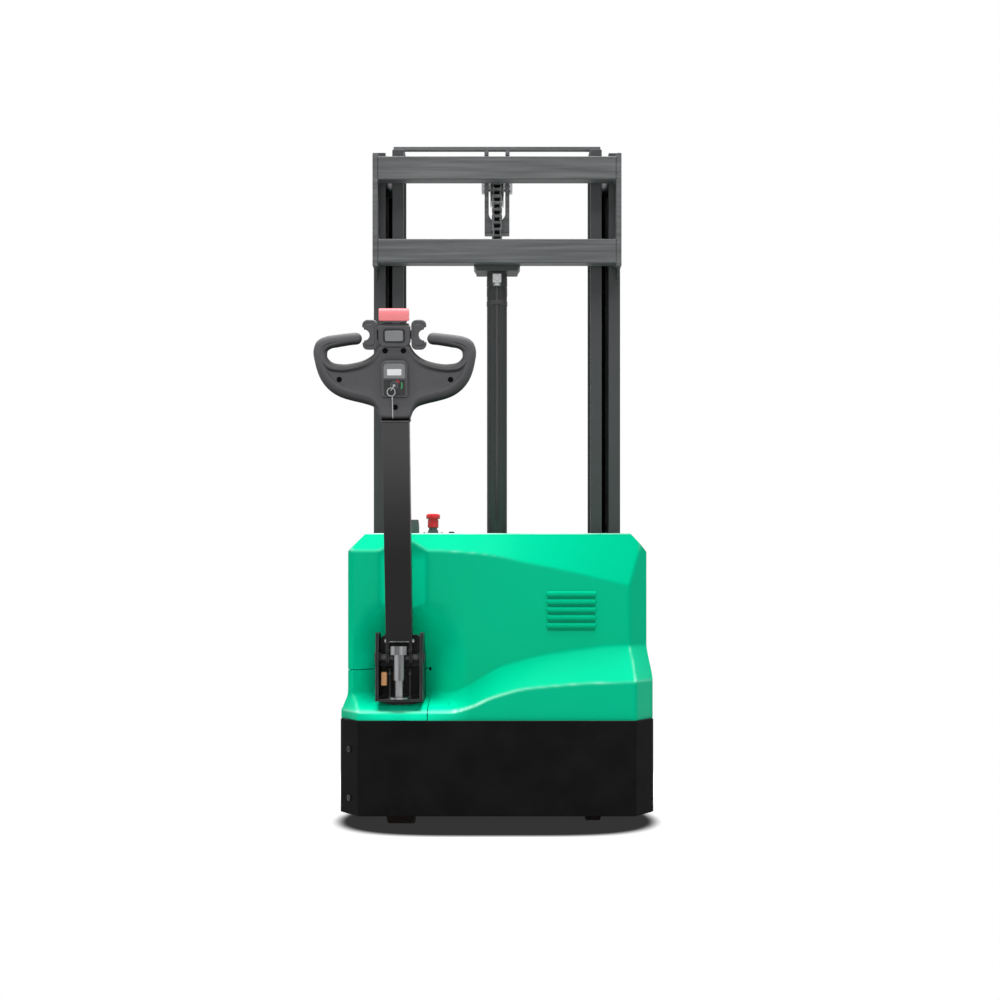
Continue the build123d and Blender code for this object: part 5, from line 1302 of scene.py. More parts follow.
@dataclass
class Studio:
    """Floor, light and camera."""

    camera_spot: Triple = (0.0, -3500.0, 592.0)
    lens: float = 50.35
    sensor: float = 36.0
    shift: Pair = (0.003, 0.094)
    sight: float = 100.0  # m
    floor_size: float = 24.0
    floor_shape: Triple = (1.5, 1.0, 1.0)  # the fade is narrower across the truck
    floor_fade: Pair = (0.72, 0.95)
    floor_lit: float = 0.5  # grey that lights the truck
    floor_seen: float = 0.86  # grey that the eye sees
    painted_shadow_middle: Triple = (0.0, -0.56, 0.0)  # middle of the painted shadow, where the skirt all but touches the floor
    painted_shadow_half: Triple = (0.437, 0.285, 1.0)  # half axes of that patch, square at its ends
    painted_shadow_edge: float = 0.8  # share of it that is fully dark
    # grey of the painted shadow, a dim emission for the eye
    shade: float = 0.034
    ambient: float = 0.1
    lamps: tuple = (("top_box", (0.0, -0.35, 4.6), (0.0, -0.3, 0.4), (4.0, 3.6), 575.0),
                    ("front_box", (-0.4, -5.2, 1.1), (0.0, -0.6, 0.7), (3.0, 2.4), 75.0),
                    ("rear_left_box", (-3.4, -3.6, 2.6), (0.0, -0.5, 0.8), (2.2, 2.6), 12.0),
                    ("rear_right_box", (3.6, -3.2, 2.4), (0.0, -0.5, 0.8), (2.2, 2.6), 7.0))

    def floor(self) -> None:
        """Pale floor that takes the truck's shadow, with a painted shadow near the truck, and fades into the
        white ground.
        """
        grid = np.linspace(-self.floor_size / 2, self.floor_size / 2, 25)
        x, y = np.meshgrid(grid, grid)
        obj = put(mesh_of("floor", lattice(np.stack([x, y, 0 * x], axis=-1))), "floor")
        made = bpy.data.materials.new("pale_floor")
        made.use_nodes = True
        bench = NodeBench(made.node_tree, True)
        far = bench.vector("LENGTH", bench.vector("MULTIPLY", bench.own(), self.floor_shape), output="Value")
        away = bench.vector("SUBTRACT", bench.own(), self.painted_shadow_middle)
        away = bench.vector("DIVIDE", away, self.painted_shadow_half)
        across = bench.part(away, 0)
        away = bench.add("CombineXYZ", {0: bench.math("MULTIPLY", across, across), 1: bench.part(away, 1)})
        away = bench.vector("LENGTH", away.outputs[0], output="Value")
        # share of the painted shadow near the skirt's end
        near = bench.span(away, self.painted_shadow_edge, 1.0, 1.0, 0.0, "SMOOTHSTEP")
        eye = bench.add("LightPath").outputs["Is Camera Ray"]
        pale = bench.mix(eye, (*[self.floor_lit] * 3, 1), (*[self.floor_seen] * 3, 1))
        look = bench.add("BsdfDiffuse", {"Color": pale}).outputs[0]
        seen = bench.seen()
        for share, strength in ((bench.span(far, *self.floor_fade), 1.0), (near, self.shade)):
            flat = bench.add("Emission", {"Color": (1, 1, 1, 1), "Strength": strength}).outputs[0]
            look = bench.shaders(bench.math("MULTIPLY", share, seen), look, flat)
        bench.add("OutputMaterial", {0: look})
        obj.data.materials.append(made)

    def world(self) -> None:
        """White ground for the eye and for reflections, softer light on the object."""
        made = bpy.data.worlds.new("studio")
        bpy.context.scene.world = made
        made.use_nodes = True
        bench = NodeBench(made.node_tree, True)
        soft, white = (bench.add("Background", {"Color": (1, 1, 1, 1), "Strength": strength}).outputs[0]
                       for strength in (self.ambient, 1.0))
        bench.add("OutputWorld", {0: bench.shaders(bench.seen(), soft, white)})

    def lamp(self, name: str, spot: Triple, aim: Triple, size: Pair, power: float) -> None:
        """Soft box at one spot, turned to another.

        Args:
            name: its name.
            spot, aim: where it stands and where it looks, in m.
            size: width and height, in m.
            power: power in W.
        """
        data = bpy.data.lights.new(name, "AREA")
        data.shape = "RECTANGLE"
        data.size, data.size_y = size
        data.energy = power
        obj = put(data, name)
        obj.visible_glossy = False
        obj.location = spot
        obj.rotation_euler = (Vector(aim) - Vector(spot)).to_track_quat("-Z", "Y").to_euler()

    def camera(self) -> None:
        """Camera level behind the truck, with its lens shifted as in the photograph."""
        data = bpy.data.cameras.new("camera")
        data.lens = self.lens
        data.sensor_width = self.sensor
        data.shift_x, data.shift_y = self.shift
        data.clip_end = self.sight
        obj = put(data, "camera")
        obj.location = place(*self.camera_spot).tolist()
        obj.rotation_euler = (np.pi / 2, 0, 0)
        bpy.context.scene.camera = obj

    def build(self) -> None:
        """Set the whole studio up."""
        self.floor()
        self.world()
        for row in self.lamps:
            self.lamp(*row)
        self.camera()
        bpy.context.scene.view_settings.view_transform = "Standard"


@dataclass
class Chassis:
    """Skirt, frame, and the works that the covers hide."""

    corner_normal: Triple = (-0.829, -0.56, 0.0)
    bolt_spot: Pair = (-373.2, 37.4)
    bolt_heights: Pair = (77.0, 200.0)
    bolt_radius: float = 8.0
    bolt_proud: float = 4.0
    corner_cuts: tuple = ((-1, -376.0), (1, 382.0))
    corner_z: float = 702.0
    corner_rise: Pair = (48.0, 43.0)  # direction of the cuts, out and up

    def bolts(self) -> Form:
        """Socket heads on the skirt's left corner: a rim, a chamfer and a blind hole each."""
        r, h = self.bolt_radius, self.bolt_proud
        profile = [(0, -2), (r, -2), (r, h - 1), (r - 1, h), (r * 0.55, h), (r * 0.5, h - 2.6), (0, h - 2.6)]
        return join(turned(profile, (*self.bolt_spot, z), self.corner_normal, 24) for z in self.bolt_heights)

    def clip_corners(self, mesh: bpy.types.Mesh) -> None:
        """Cut the bulkhead's upper corners along the cover's chamfers and close the cuts.

        Args:
            mesh: the frame's mesh, changed in place.
        """
        out, up = self.corner_rise
        work = bmesh.new()
        for side, x in self.corner_cuts:
            work.clear()
            work.from_mesh(mesh)
            cut = bmesh.ops.bisect_plane(
                work, geom=[*work.verts, *work.edges, *work.faces], clear_outer=True,
                plane_co=place(x, 0.0, self.corner_z), plane_no=(side * out, 0.0, up))
            edges = [one for one in cut["geom_cut"] if isinstance(one, bmesh.types.BMEdge)]
            bmesh.ops.contextual_create(work, geom=edges)
            work.to_mesh(mesh)
        work.free()

    def build(self) -> None:
        """Make the skirt, its bolts, the frame and the hidden works."""
        carry(SKIRT_BLACK, 3.0, "skirt")
        add_piece("skirt_bolts", self.bolts(), BRACKET_BLACK, "chassis")
        self.clip_corners(carry(MAST_GREY, 2.0, "chassis_frame")[0].data)
        carry(CASE_GREY, 4.0, "battery")
        carry(CASE_GREY, 5.0, "oil_tank", segments=3)
        carry(MOTOR_CAST, 1.0, "pump_motor", "controller")


@dataclass
class CoverTop:
    """Emergency stop, socket, screws and cap on the cover."""

    top: float = 750.0
    stop: Pair = (-169.0, 200.0)
    collar_radius: float = 10.8
    collar_foot: float = 17.2
    sleeve: Triple = (14.3, 767.0, 790.0)
    head: Pair = (18.4, 804.0)
    screw_gap: float = 23.0
    screw_radius: float = 4.0
    cap_x: float = -120.0
    cap_radius: float = 8.0

    def mushroom(self) -> Profile:
        """Profile of the red button: straight sleeve, undercut neck and a rolled, slightly domed head."""
        r, low, neck = self.sleeve
        wide, high = self.head
        return [(0, low), (r - 1, low), (r, low + 1), (r, neck - 4), (r - 1.2, neck - 2),
                (r - 1.2, neck - 0.4), (wide - 2, neck), (wide - 0.5, neck + 0.8), (wide, neck + 2.4),
                (wide, high - 5), (wide - 0.7, high - 2.6), (wide - 2.6, high - 1), (wide - 5, high - 0.4),
                (wide * 0.35, high), (0, high)]

    def collar(self) -> Profile:
        """Profile of the grey collar: a foot ring, a step and a tube."""
        r, foot = self.collar_radius, self.collar_foot
        return [(0, -3), (foot, -3), (foot, 3), (foot - 0.8, 4), (foot - 3.8, 4.4), (foot - 4.2, 11),
                (r, 11.6), (r, 24), (r - 1, 25), (0, 25)]

    def screw(self) -> Profile:
        """Profile of a round screw head with a blind hole."""
        r = self.screw_radius
        return [(0, -2), (r, -2), (r, 2.4), (r - 1, 4.4), (r * 0.45, 5), (r * 0.3, 3), (0, 3)]

    def cap(self) -> Profile:
        """Profile of a plain domed cap."""
        r = self.cap_radius
        return [(0, -1), (r, -1), (r, 4), (r - 1, 6.2), (r - 3, 7), (0, 7)]

    def build(self) -> None:
        """Make the stop button, its collar, the socket, the screws and the cap."""
        x, s = self.stop
        head = turned(self.mushroom(), (x, s, 0.0), Axis.UP)
        add_piece("stop_button_head", head, RED_GLOSS, "stop_button", ["stop_button"])
        collar = turned(self.collar(), (x, s, self.top), Axis.UP)
        add_piece("stop_collar", collar, CASE_GREY, "chassis", ["stop_switch_collar"])
        carry(MOULDED_BLACK, 2.0, "charger_socket", segments=3)
        spots = ((x + side * self.screw_gap, s, self.top) for side in SIDES)
        heads = join(turned(self.screw(), spot, Axis.UP, 20) for spot in spots)
        add_piece("cover_screw_heads", heads, BRACKET_BLACK, "chassis", ["cover_screws"])
        cap = turned(self.cap(), (self.cap_x, s, self.top), Axis.UP, 28)
        add_piece("cover_cap", cap, DARK_PLASTIC, "chassis")


@dataclass
class OuterMast:
    """Fixed channels with their side plates, cross beams and welds."""

    inside: float = 333.0
    rear: float = 405.0
    beam_front: float = 448.0
    beam_levels: tuple = (1517.0, 1584.0, 1750.0, 1815.0)
    seam: Pair = (340.0, 451.0)  # where a side plate meets its channel, x and s
    seam_span: Pair = (1510.0, 1818.0)
    bead_radius: float = 4.0
    guide_low: Triple = (297.0, 567.0, 60.0)
    guide_high: Triple = (314.5, 579.0, 1838.0)
    toe: tuple = ((410, 1508), (450, 1508), (450, 1478), (444, 1480), (432, 1490), (420, 1502))
    toe_spans: tuple = ((336.0, 345.0), (-345.0, -336.0))

    def guides(self) -> Form:
        """Slide strips that close the slot between the outer and the inner channels, near-black as painted
        shade in that slot.
        """
        low, high = self.guide_low, self.guide_high
        return block(low, high) + block((-high[0], *low[1:]), (-low[0], *high[1:]))

    def welds(self) -> Form:
        """Beads under and over each beam end, and down the side plates' seams with the channels."""
        beads = []
        x, s = self.seam
        low, high = self.seam_span
        for side in SIDES:
            end = side * (self.inside - 1)
            beads += [bead((end, self.rear + 4, z), (end, self.beam_front - 3, z), self.bead_radius)
                      for z in self.beam_levels]
            beads.append(bead((side * x, s, low), (side * x, s, high), self.bead_radius, (1, 0, 0)))
        return join(beads)

    def toes(self) -> Form:
        """Dark rounded fillets where the side plates end on the channels."""
        return join(slab(np.array(self.toe, float), *span, Axis.ACROSS) for span in self.toe_spans)

    def build(self) -> None:
        """Make the channels, plates, beams and welds."""
        carry(MAST_GREY, 2.5, "mast_channel_right", "mast_channel_left", "mast_base_frame")
        carry(BEAM_GREY, 3.0, "mast_side_plates")
        carry(BEAM_GREY, 3.5, "mast_upper_beam", "mast_lower_beam", segments=3)
        add_piece("mast_guides", self.guides(), PAINTED_SHADE_BLACK, "chassis", bevel=1.0)
        add_piece("mast_welds", self.welds(), MAST_GREY, "chassis", sharp=60)
        add_piece("mast_plate_toes", self.toes(), MAST_GREY, "chassis", bevel=2.0)


@dataclass
class InnerMast:
    """Rising channels, their beams, the pulley bracket and its axle."""

    axle: Triple = (0.0, 563.0, 1772.0)
    axle_radius: float = 12.5
    bracket_half: float = 36.0
    nut_reach: float = 9.0
    nut_across: float = 35.0
    washer_radius: float = 19.0
    half: float = 296.0
    top_plate: tuple = (500.0, 580.0, 1848.0, 1860.0, 1872.0)  # rear, front, channel's top, underside, top
    bar: float = 14.0
    feet: tuple = ((264.0, 296.0, 1862.0), (24.0, 36.0, 1861.0))
    push: tuple = (450.0, 496.0, 1522.0, 1545.0, 1588.0)  # rear, front, pad's foot, underside, top
    push_half: float = 240.0
    pad_half: float = 30.0
    tab: Pair = (239.5, 264.5)

    def top_beam(self) -> Form:
        """Upright bar across the top, a foot on each channel and a strap back to each arm of the bracket."""
        rear, front, foot, low, high = self.top_plate
        parts = [block((-self.half, rear, low), (self.half, rear + self.bar, high))]
        for near, far, level in self.feet:
            parts.append(block((near, rear, foot - 2), (far, front, level)))
            parts.append(block((-far, rear, foot - 2), (-near, front, level)))
        return join(parts)

    def push_beam(self) -> Form:
        """Beam that the rod lifts, with a pad under its middle and a tab at each end."""
        rear, front, foot, low, high = self.push
        near, far = self.tab
        beam = block((-self.push_half, rear, low), (self.push_half, front, high))
        pad = block((-self.pad_half, rear, foot), (self.pad_half, front, low + 1))
        tabs = [block((x, rear, low), (x + far - near, rear + self.bar, high)) for x in (-far, near)]
        return join([beam, pad, *tabs])

    def nuts(self) -> Form:
        """Pulley axle with a washer and a hexagonal nut at each end."""
        near, wide = self.bracket_half, self.washer_radius
        reach = near + self.nut_reach
        parts = [turned(rod(self.axle_radius, -reach + 1, reach - 1), self.axle, Axis.ACROSS, 32)]
        for side in SIDES:
            start, end = side * near, side * (near + 2)
            washer = [(0, start), (wide, start), (wide, end), (0, end)]
            parts.append(turned(washer, self.axle, Axis.ACROSS, 32))
            start, end = side * (near + 1.6), side * (reach - 0.2)
            parts.append(hexagon(self.nut_across, start, end, self.axle, Axis.ACROSS))
        return join(parts)

    def build(self) -> None:
        """Make the channels, the beams, the bracket and the axle."""
        carry(MAST_GREY, 2.5, "inner_channel_right", "inner_channel_left", "inner_bottom_beam")
        carry(BEAM_GREY, 1.5, "pulley_bracket")
        add_piece("inner_top_bar", self.top_beam(), BEAM_GREY, "inner_mast", ["inner_top_beam"], 2.0)
        add_piece("inner_push_bar", self.push_beam(), MAST_GREY, "inner_mast", ["inner_push_beam"], 2.0)
        add_piece("pulley_axle_nuts", self.nuts(), PLATED_STEEL, "inner_mast", ["pulley_axle"])


@dataclass
class LiftCylinder:
    """Barrel with its gland, port, bleed pipe and clip, and the chromed rod."""

    s: float = 475.0
    radius: float = 28.5
    low: float = 98.0
    high: float = 1503.0
    gland: Pair = (1436.0, 1489.0)
    gland_radius: float = 29.2
    port_z: float = 1477.5
    port_half: Pair = (12.0, 14.5)
    port_rear: float = 429.0
    plug: Triple = (8.5, 427.0, 450.0)  # radius and ends
    nut: Triple = (17.0, 5.0, -4.0)  # across its flats, and its ends from the port's foot
    pipe_s: float = 439.5
    pipe_low: float = 800.0
    pipe_radius: float = 4.0
    pipe_set: Triple = (2.5, 1440.0, 60.0)  # its sideways set, where that starts and over how much
    clip: Pair = (1410.0, 1422.0)
    clip_span: Pair = (-0.5, 1.3)  # from the barrel's face
    saddle: float = 6.0
    saddle_feet: Pair = (11.0, 2.5)  # half their length, and their thickness
    bracket_levels: Triple = (1517.0, 1506.0, 1501.0)
    bracket_halves: Pair = (66.0, 59.0)
    bracket_span: Pair = (430.0, 509.0)

    def barrel(self) -> Form:
        """Barrel profile: foot chamfer, tube, and a gland ring with a groove near the top."""
        r, g = self.radius, self.gland_radius
        low, high = self.gland
        mid = (low + high) / 2
        profile = [(0, self.low), (r - 3, self.low), (r, self.low + 3), (r, low), (g, low + 1.5),
                   (g, mid - 3), (r, mid - 2), (r, mid + 2), (g, mid + 3), (g, high - 1.5), (r, high),
                   (r, self.high - 1), (r - 1, self.high), (0, self.high)]
        return turned(profile, (0.0, self.s, 0.0), Axis.UP, 64)

    def bracket(self) -> Form:
        """Head bracket: a plate whose ends draw in towards a thin lower lip."""
        upper, mid, lower = self.bracket_levels
        wide, narrow = self.bracket_halves
        half = np.array([(-wide, upper), (-narrow, mid), (-narrow, lower)])
        return slab(np.concatenate([half, half[::-1] * [-1, 1]]), *self.bracket_span, Axis.ALONG)

    def port(self) -> Form:
        """Square elbow on the gland with a round plug, and a union nut under it for the pipe."""
        half, rise = self.port_half
        foot = self.port_z - rise
        across, start, end = self.nut
        body = block((-half, self.port_rear, foot + 4), (half, self.s - self.radius + 4, self.port_z + rise))
        plug = turned(rod(*self.plug), (0.0, 0.0, self.port_z + 3), Axis.ALONG, 28)
        return body + plug + hexagon(across, foot + start, foot + end, (0.0, self.pipe_s, 0.0), Axis.UP)

    def pipe(self) -> Form:
        """Bleed pipe: straight down from the nut, with a slight set towards the barrel over its length."""
        z = np.linspace(self.port_z - 14, self.pipe_low, 60)
        aside, start, run = self.pipe_set
        s = self.pipe_s + aside * np.sin(np.clip((start - z) / run, 0, 1) * np.pi / 2)
        return swept(place(0 * z, s, z), circle(self.pipe_radius, 14), (0, 1, 0))

    def band(self) -> Form:
        """Clip: a thin band round the barrel and a saddle over the pipe."""
        low, high = self.clip
        inner, outer = (self.radius + level for level in self.clip_span)
        loop = [(inner, low), (outer, low), (outer, high), (inner, high), (inner, low)]
        angle = np.linspace(0, np.pi, 12)
        half, thick = self.saddle_feet
        face = self.pipe_s + 5
        arch = np.stack([self.saddle * np.cos(angle), self.pipe_s + 2 - self.saddle * np.sin(angle)], axis=-1)
        foot = np.array([(half, face + thick), (half, face)])
        outline = np.concatenate([foot, arch, foot[::-1] * [-1, 1]])
        return turned(loop, (0.0, self.s, 0.0), Axis.UP, 64) + slab(outline, low, high, Axis.UP)

    def build(self) -> None:
        """Make the barrel and what is fixed to it, and the rod."""
        add_piece("lift_barrel_tube", self.barrel(), MAST_GREY, "chassis", ["lift_barrel"])
        add_piece("barrel_head_bracket", self.bracket(), MAST_GREY, "chassis", ["barrel_bracket"], 1.5)
        add_piece("port_elbow", self.port(), PLATED_STEEL, "chassis", ["bleed_line"], 1.2)
        add_piece("bleed_pipe", self.pipe(), ARM_BLACK, "chassis", sharp=60)
        add_piece("pipe_clip", self.band(), ARM_BLACK, "chassis")
        carry(CHROME_ROD, 0.6, "lift_rod")


@dataclass
class ChainDrive:
    """Roller chain over the pulley wheel: fixed leg, wrap and lifting leg."""

    pitch: float = 19.05
    wheel_s: float = 563.0
    wheel_z: float = 1772.0
    pitch_radius: float = 45.0
    wheel_radius: float = 57.0
    wheel_half: float = 19.8
    wheel_bore: float = 12.6
    plate: Triple = (7.6, 5.4, 2.4)  # a link plate's end radius, half waist and thickness
    plate_x: Pair = (12.6, 9.9)  # middle of the outer and the inner plates
    roller: Pair = (5.8, 8.4)  # radius and half length
    pin: Pair = (3.2, 15.0)
    anchor_z: float = 500.0
    carriage_z: float = 375.0
    lift: float = 1250.0
    wrap_links: int = 8
    slack: float = 14.0  # the raised leg ends this far below the wheel's middle
    core: Pair = (8.0, 1.5)  # half the dark core of the fixed leg, painted shade between its links
    nested: float = 0.94  # size of the leg that the wheel pays out inside it

    def link(self, half: float, shrink: float) -> Form:
        """One link about the origin.

        Two waisted plates (arcs round both pins, pinched between) at x = +-half, a roller and a pin.

        Args:
            half: middle of the plates from the chain's centre, mm.
            shrink: share of the full width and depth.

        Returns:
            The link, upright along z.
        """
        angle = np.radians(np.linspace(-20, 200, 8))
        radius, waist, thick = self.plate
        cap = np.stack([radius * np.cos(angle), self.pitch / 2 + radius * np.sin(angle)], axis=-1)
        outline = np.concatenate([cap, [(-waist, 0)], -cap, [(waist, 0)]]) * [shrink, 1] + [SKIRT_FACE, 0]
        parts = [slab(outline, x - thick / 2, x + thick / 2, Axis.ACROSS) for x in (-half, half)]
        roller = rod(self.roller[0] * shrink, -self.roller[1], self.roller[1])
        pin = rod(self.pin[0] * shrink, -self.pin[1] * shrink, self.pin[1] * shrink, 0.6)
        for profile, sides in ((roller, 12), (pin, 8)):
            parts.append(turned(profile, (0.0, SKIRT_FACE, self.pitch / 2), Axis.ACROSS, sides))
        return join(parts)

    def links(self, s: Array | float, z: Array, tilt: Array, shrink: float = 1.0) -> Form:
        """Links along the chain, with wide and narrow plates by turns.

        Args:
            s, z: place and height of each link, mm.
            tilt: its turn about the x axis, radians.
            shrink: share of the full width and depth.

        Returns:
            All the links.
        """
        spots = place(0.0, s, z)
        return join(scatter(self.link(half * shrink, shrink), spots[k::2], tilt[k::2])
                    for k, half in enumerate(self.plate_x))

    def strand(self, s: float, low: float, shrink: float = 1.0) -> Form:
        """Upright run of links from a height to the wheel's middle."""
        length = self.wheel_z - low
        count = int(round(length / self.pitch))
        return self.links(s, low + length / count * (np.arange(count) + 0.5), np.zeros(count), shrink)

    def wrap(self) -> Form:
        """Links round the wheel's upper half, each square to its radius."""
        angle = np.pi * (np.arange(self.wrap_links) + 0.5) / self.wrap_links
        r = self.pitch_radius
        return self.links(self.wheel_s + r * np.cos(angle), self.wheel_z + r * np.sin(angle), angle)

    def wheel(self) -> Form:
        """Pulley wheel: flanges, a groove that the rollers run in, and a bored hub."""
        r, h, groove = self.wheel_radius, self.wheel_half, self.pitch_radius - 8.2
        half = [(self.wheel_bore, h), (24, h), (25, h - 1.5), (30, h - 2.2), (r - 3, h - 1), (r, h - 1.8),
                (r, 16.8), (r - 3, 16), (groove + 2, 15.8), (groove, 14)]
        return turned(both_ways(half), (0.0, self.wheel_s, self.wheel_z), Axis.ACROSS, 64)

    def build(self) -> None:
        """Make both legs, the wrap and the wheel."""
        rear, front = self.wheel_s - self.pitch_radius, self.wheel_s + self.pitch_radius
        fixed, paid_out = (self.strand(rear, self.anchor_z, size) for size in (1.0, self.nested))
        add_piece("chain_leg_fixed", fixed, OILED_CHAIN, "chassis", ["chain_fixed_leg"])
        wide, deep = self.core
        core = block((-wide, rear - deep, self.anchor_z), (wide, rear + deep, self.wheel_z))
        add_piece("chain_leg_shade_core", core, PAINTED_SHADE_BLACK, "chassis", bevel=0.5)
        add_piece("chain_leg_paid_out", paid_out, OILED_CHAIN, "inner_mast")
        add_piece("chain_over_wheel", self.wrap(), OILED_CHAIN, "inner_mast", ["chain_wrap"])
        lifting = self.strand(front, self.carriage_z)
        obj = add_piece("chain_leg_lifting", lifting, OILED_CHAIN, "carriage", ["chain_lifting_leg"])
        anchor = place(0.0, front, self.carriage_z).tolist()
        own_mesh(obj)
        add_piece("chain_pulley", self.wheel(), TURNED_STEEL, "chain_wheel", ["chain_wheel"])


@dataclass
class Wheel:
    """Tyre bonded on a cast hub, bored for its axle."""

    body: str
    centre: Triple
    radius: float
    half: float
    bore: float
    tread: float  # tyre's thickness
    bolts: int = 0

    def tyre(self) -> Form:
        """Tyre profile: bonded inside, flat tread and rounded shoulders."""
        r, h, low = self.radius, self.half, self.radius - self.tread
        edge = min(5.0, self.tread * 0.4)
        angle = np.linspace(0, np.pi / 2, 6)
        shoulder = np.stack([r - edge + edge * np.sin(angle), h - edge + edge * np.cos(angle)], axis=-1)
        return turned(both_ways([(low, h - 1.5), *shoulder.tolist()]), self.centre, Axis.ACROSS, 96)

    def hub(self) -> Form:
        """Hub profile: rim under the tyre, dished web and a bored boss, plus bolt heads on the web."""
        h, low = self.half, self.radius - self.tread
        web = h * 0.62
        boss = self.bore + 0.32 * (low - self.bore)
        half = [(self.bore + 0.1, h), (boss - 1, h), (boss, h - 1), (boss + 1.5, web), (low - 7, web),
                (low - 5, h - 3), (low - 4, h - 1.6), (low + 0.2, h - 1.6)]
        parts = [turned(both_ways(half), self.centre, Axis.ACROSS, 64)]
        ring = (boss + low - 6) / 2
        x, s, z = self.centre
        for angle in around(self.bolts):
            spot = (x, s + ring * np.cos(angle), z + ring * np.sin(angle))
            parts += [hexagon(11.0, side * h * 0.6, side * (web + 6), spot, Axis.ACROSS) for side in SIDES]
        return join(parts)

    def build(self) -> None:
        """Make the tyre, which stands for the solid wheel, and the hub."""
        add_piece(self.body + "_tyre", self.tyre(), TYRE, self.body, [self.body])
        add_piece(self.body + "_hub", self.hub(), HUB_CAST, self.body)


@dataclass
class MastRollers:
    """One pair of mast rollers on its pins."""

    body: str
    x: float
    z: float
    half: float
    s: float = 515.0
    radius: float = 50.5
    bore: float = 15.1

    def build(self) -> None:
        """Make both rollers: rounded tread, a stepped seal groove on each side and the bore."""
        r, h = self.radius, self.half
        half = [(self.bore, h), (23, h), (24, h - 1.2), (34, h - 1.6), (36, h - 0.4), (r - 3, h),
                (r - 1, h - 0.8), (r, h - 3)]
        pair = join(turned(both_ways(half), (x, self.s, self.z), Axis.ACROSS, 72) for x in (self.x, -self.x))
        add_piece(self.body + "_turned", pair, TURNED_STEEL, self.body, [self.body])


@dataclass
class Carriage:
    """Fork carriage, forks, support legs and the rollers and wheels that carry them."""

    leg_x: float = 200.0
    wheel_s: float = 1340.0
    wheel_radius: float = 40.0
    wheel_half: float = 35.0
    wheel_bore: float = 10.0
    wheel_tread: float = 12.0
    rollers: tuple = (("mast_top_rollers", 304.0, 1780.0, 18.0), ("inner_bottom_rollers", 319.0, 115.0, 18.0),
                      ("carriage_upper_rollers", 260.0, 500.0, 14.0),
                      ("carriage_lower_rollers", 260.0, 210.0, 14.0))

    def build(self) -> None:
        """Make the carriage, the forks, the legs, the load wheels and all mast rollers."""
        carry(MAST_GREY, 2.0, "carriage_frame", "support_leg_right", "support_leg_left")
        carry(FORK_PAINT, 3.0, "fork_right", "fork_left")
        for name, x in (("load_wheel_right", self.leg_x), ("load_wheel_left", -self.leg_x)):
            spot = (x, self.wheel_s, self.wheel_radius)
            Wheel(name, spot, self.wheel_radius, self.wheel_half, self.wheel_bore, self.wheel_tread).build()
        for row in self.rollers:
            MastRollers(*row).build()


@dataclass
class DriveUnit:
    """Drive wheel with its yoke and motor, and the castor on the other side."""

    x: float = -246.0
    s: float = 118.0
    radius: float = 105.0
    half: float = 35.0
    axle: float = 20.0
    tread: float = 24.0
    bolts: int = 6
    motor_x: float = -196.0
    motor_radius: float = 68.0
    motor_length: float = 26.0
    rib_starts: Triple = (2.0, 9.0, 16.0)
    castor: Triple = (250.0, 165.0, 62.5)
    castor_half: float = 20.0
    castor_axle: float = 8.0
    castor_tread: float = 15.0

    def motor(self) -> Form:
        """Motor cap profile: three cooling ribs round the rim and a dished end."""
        r, end = self.motor_radius, self.motor_length
        ribs = [(r - lift, start + height) for start in self.rib_starts
                for lift, height in ((4, 0), (0, 0.8), (0, 3.2), (4, 4))]
        profile = [(0, 0), (r - 4, 0), *ribs, (r - 5, end - 3), (r - 9, end), (34, end), (31, end - 3),
                   (0, end - 3)]
        return turned(profile, (self.motor_x, self.s, self.radius), Axis.ACROSS, 72)

    def build(self) -> None:
        """Make the yoke, the motor, the drive wheel, and the castor's fork and wheel."""
        carry(BRACKET_BLACK, 2.0, "drive_yoke")
        add_piece("drive_motor_cap", self.motor(), MOTOR_CAST, "drive_unit", ["drive_motor"])
        spot = (self.x, self.s, self.radius)
        Wheel("drive_wheel", spot, self.radius, self.half, self.axle, self.tread, self.bolts).build()
        carry(BRACKET_BLACK, 1.5, "castor_fork")
        sizes = self.castor[2], self.castor_half, self.castor_axle, self.castor_tread
        Wheel("castor_wheel", self.castor, *sizes).build()


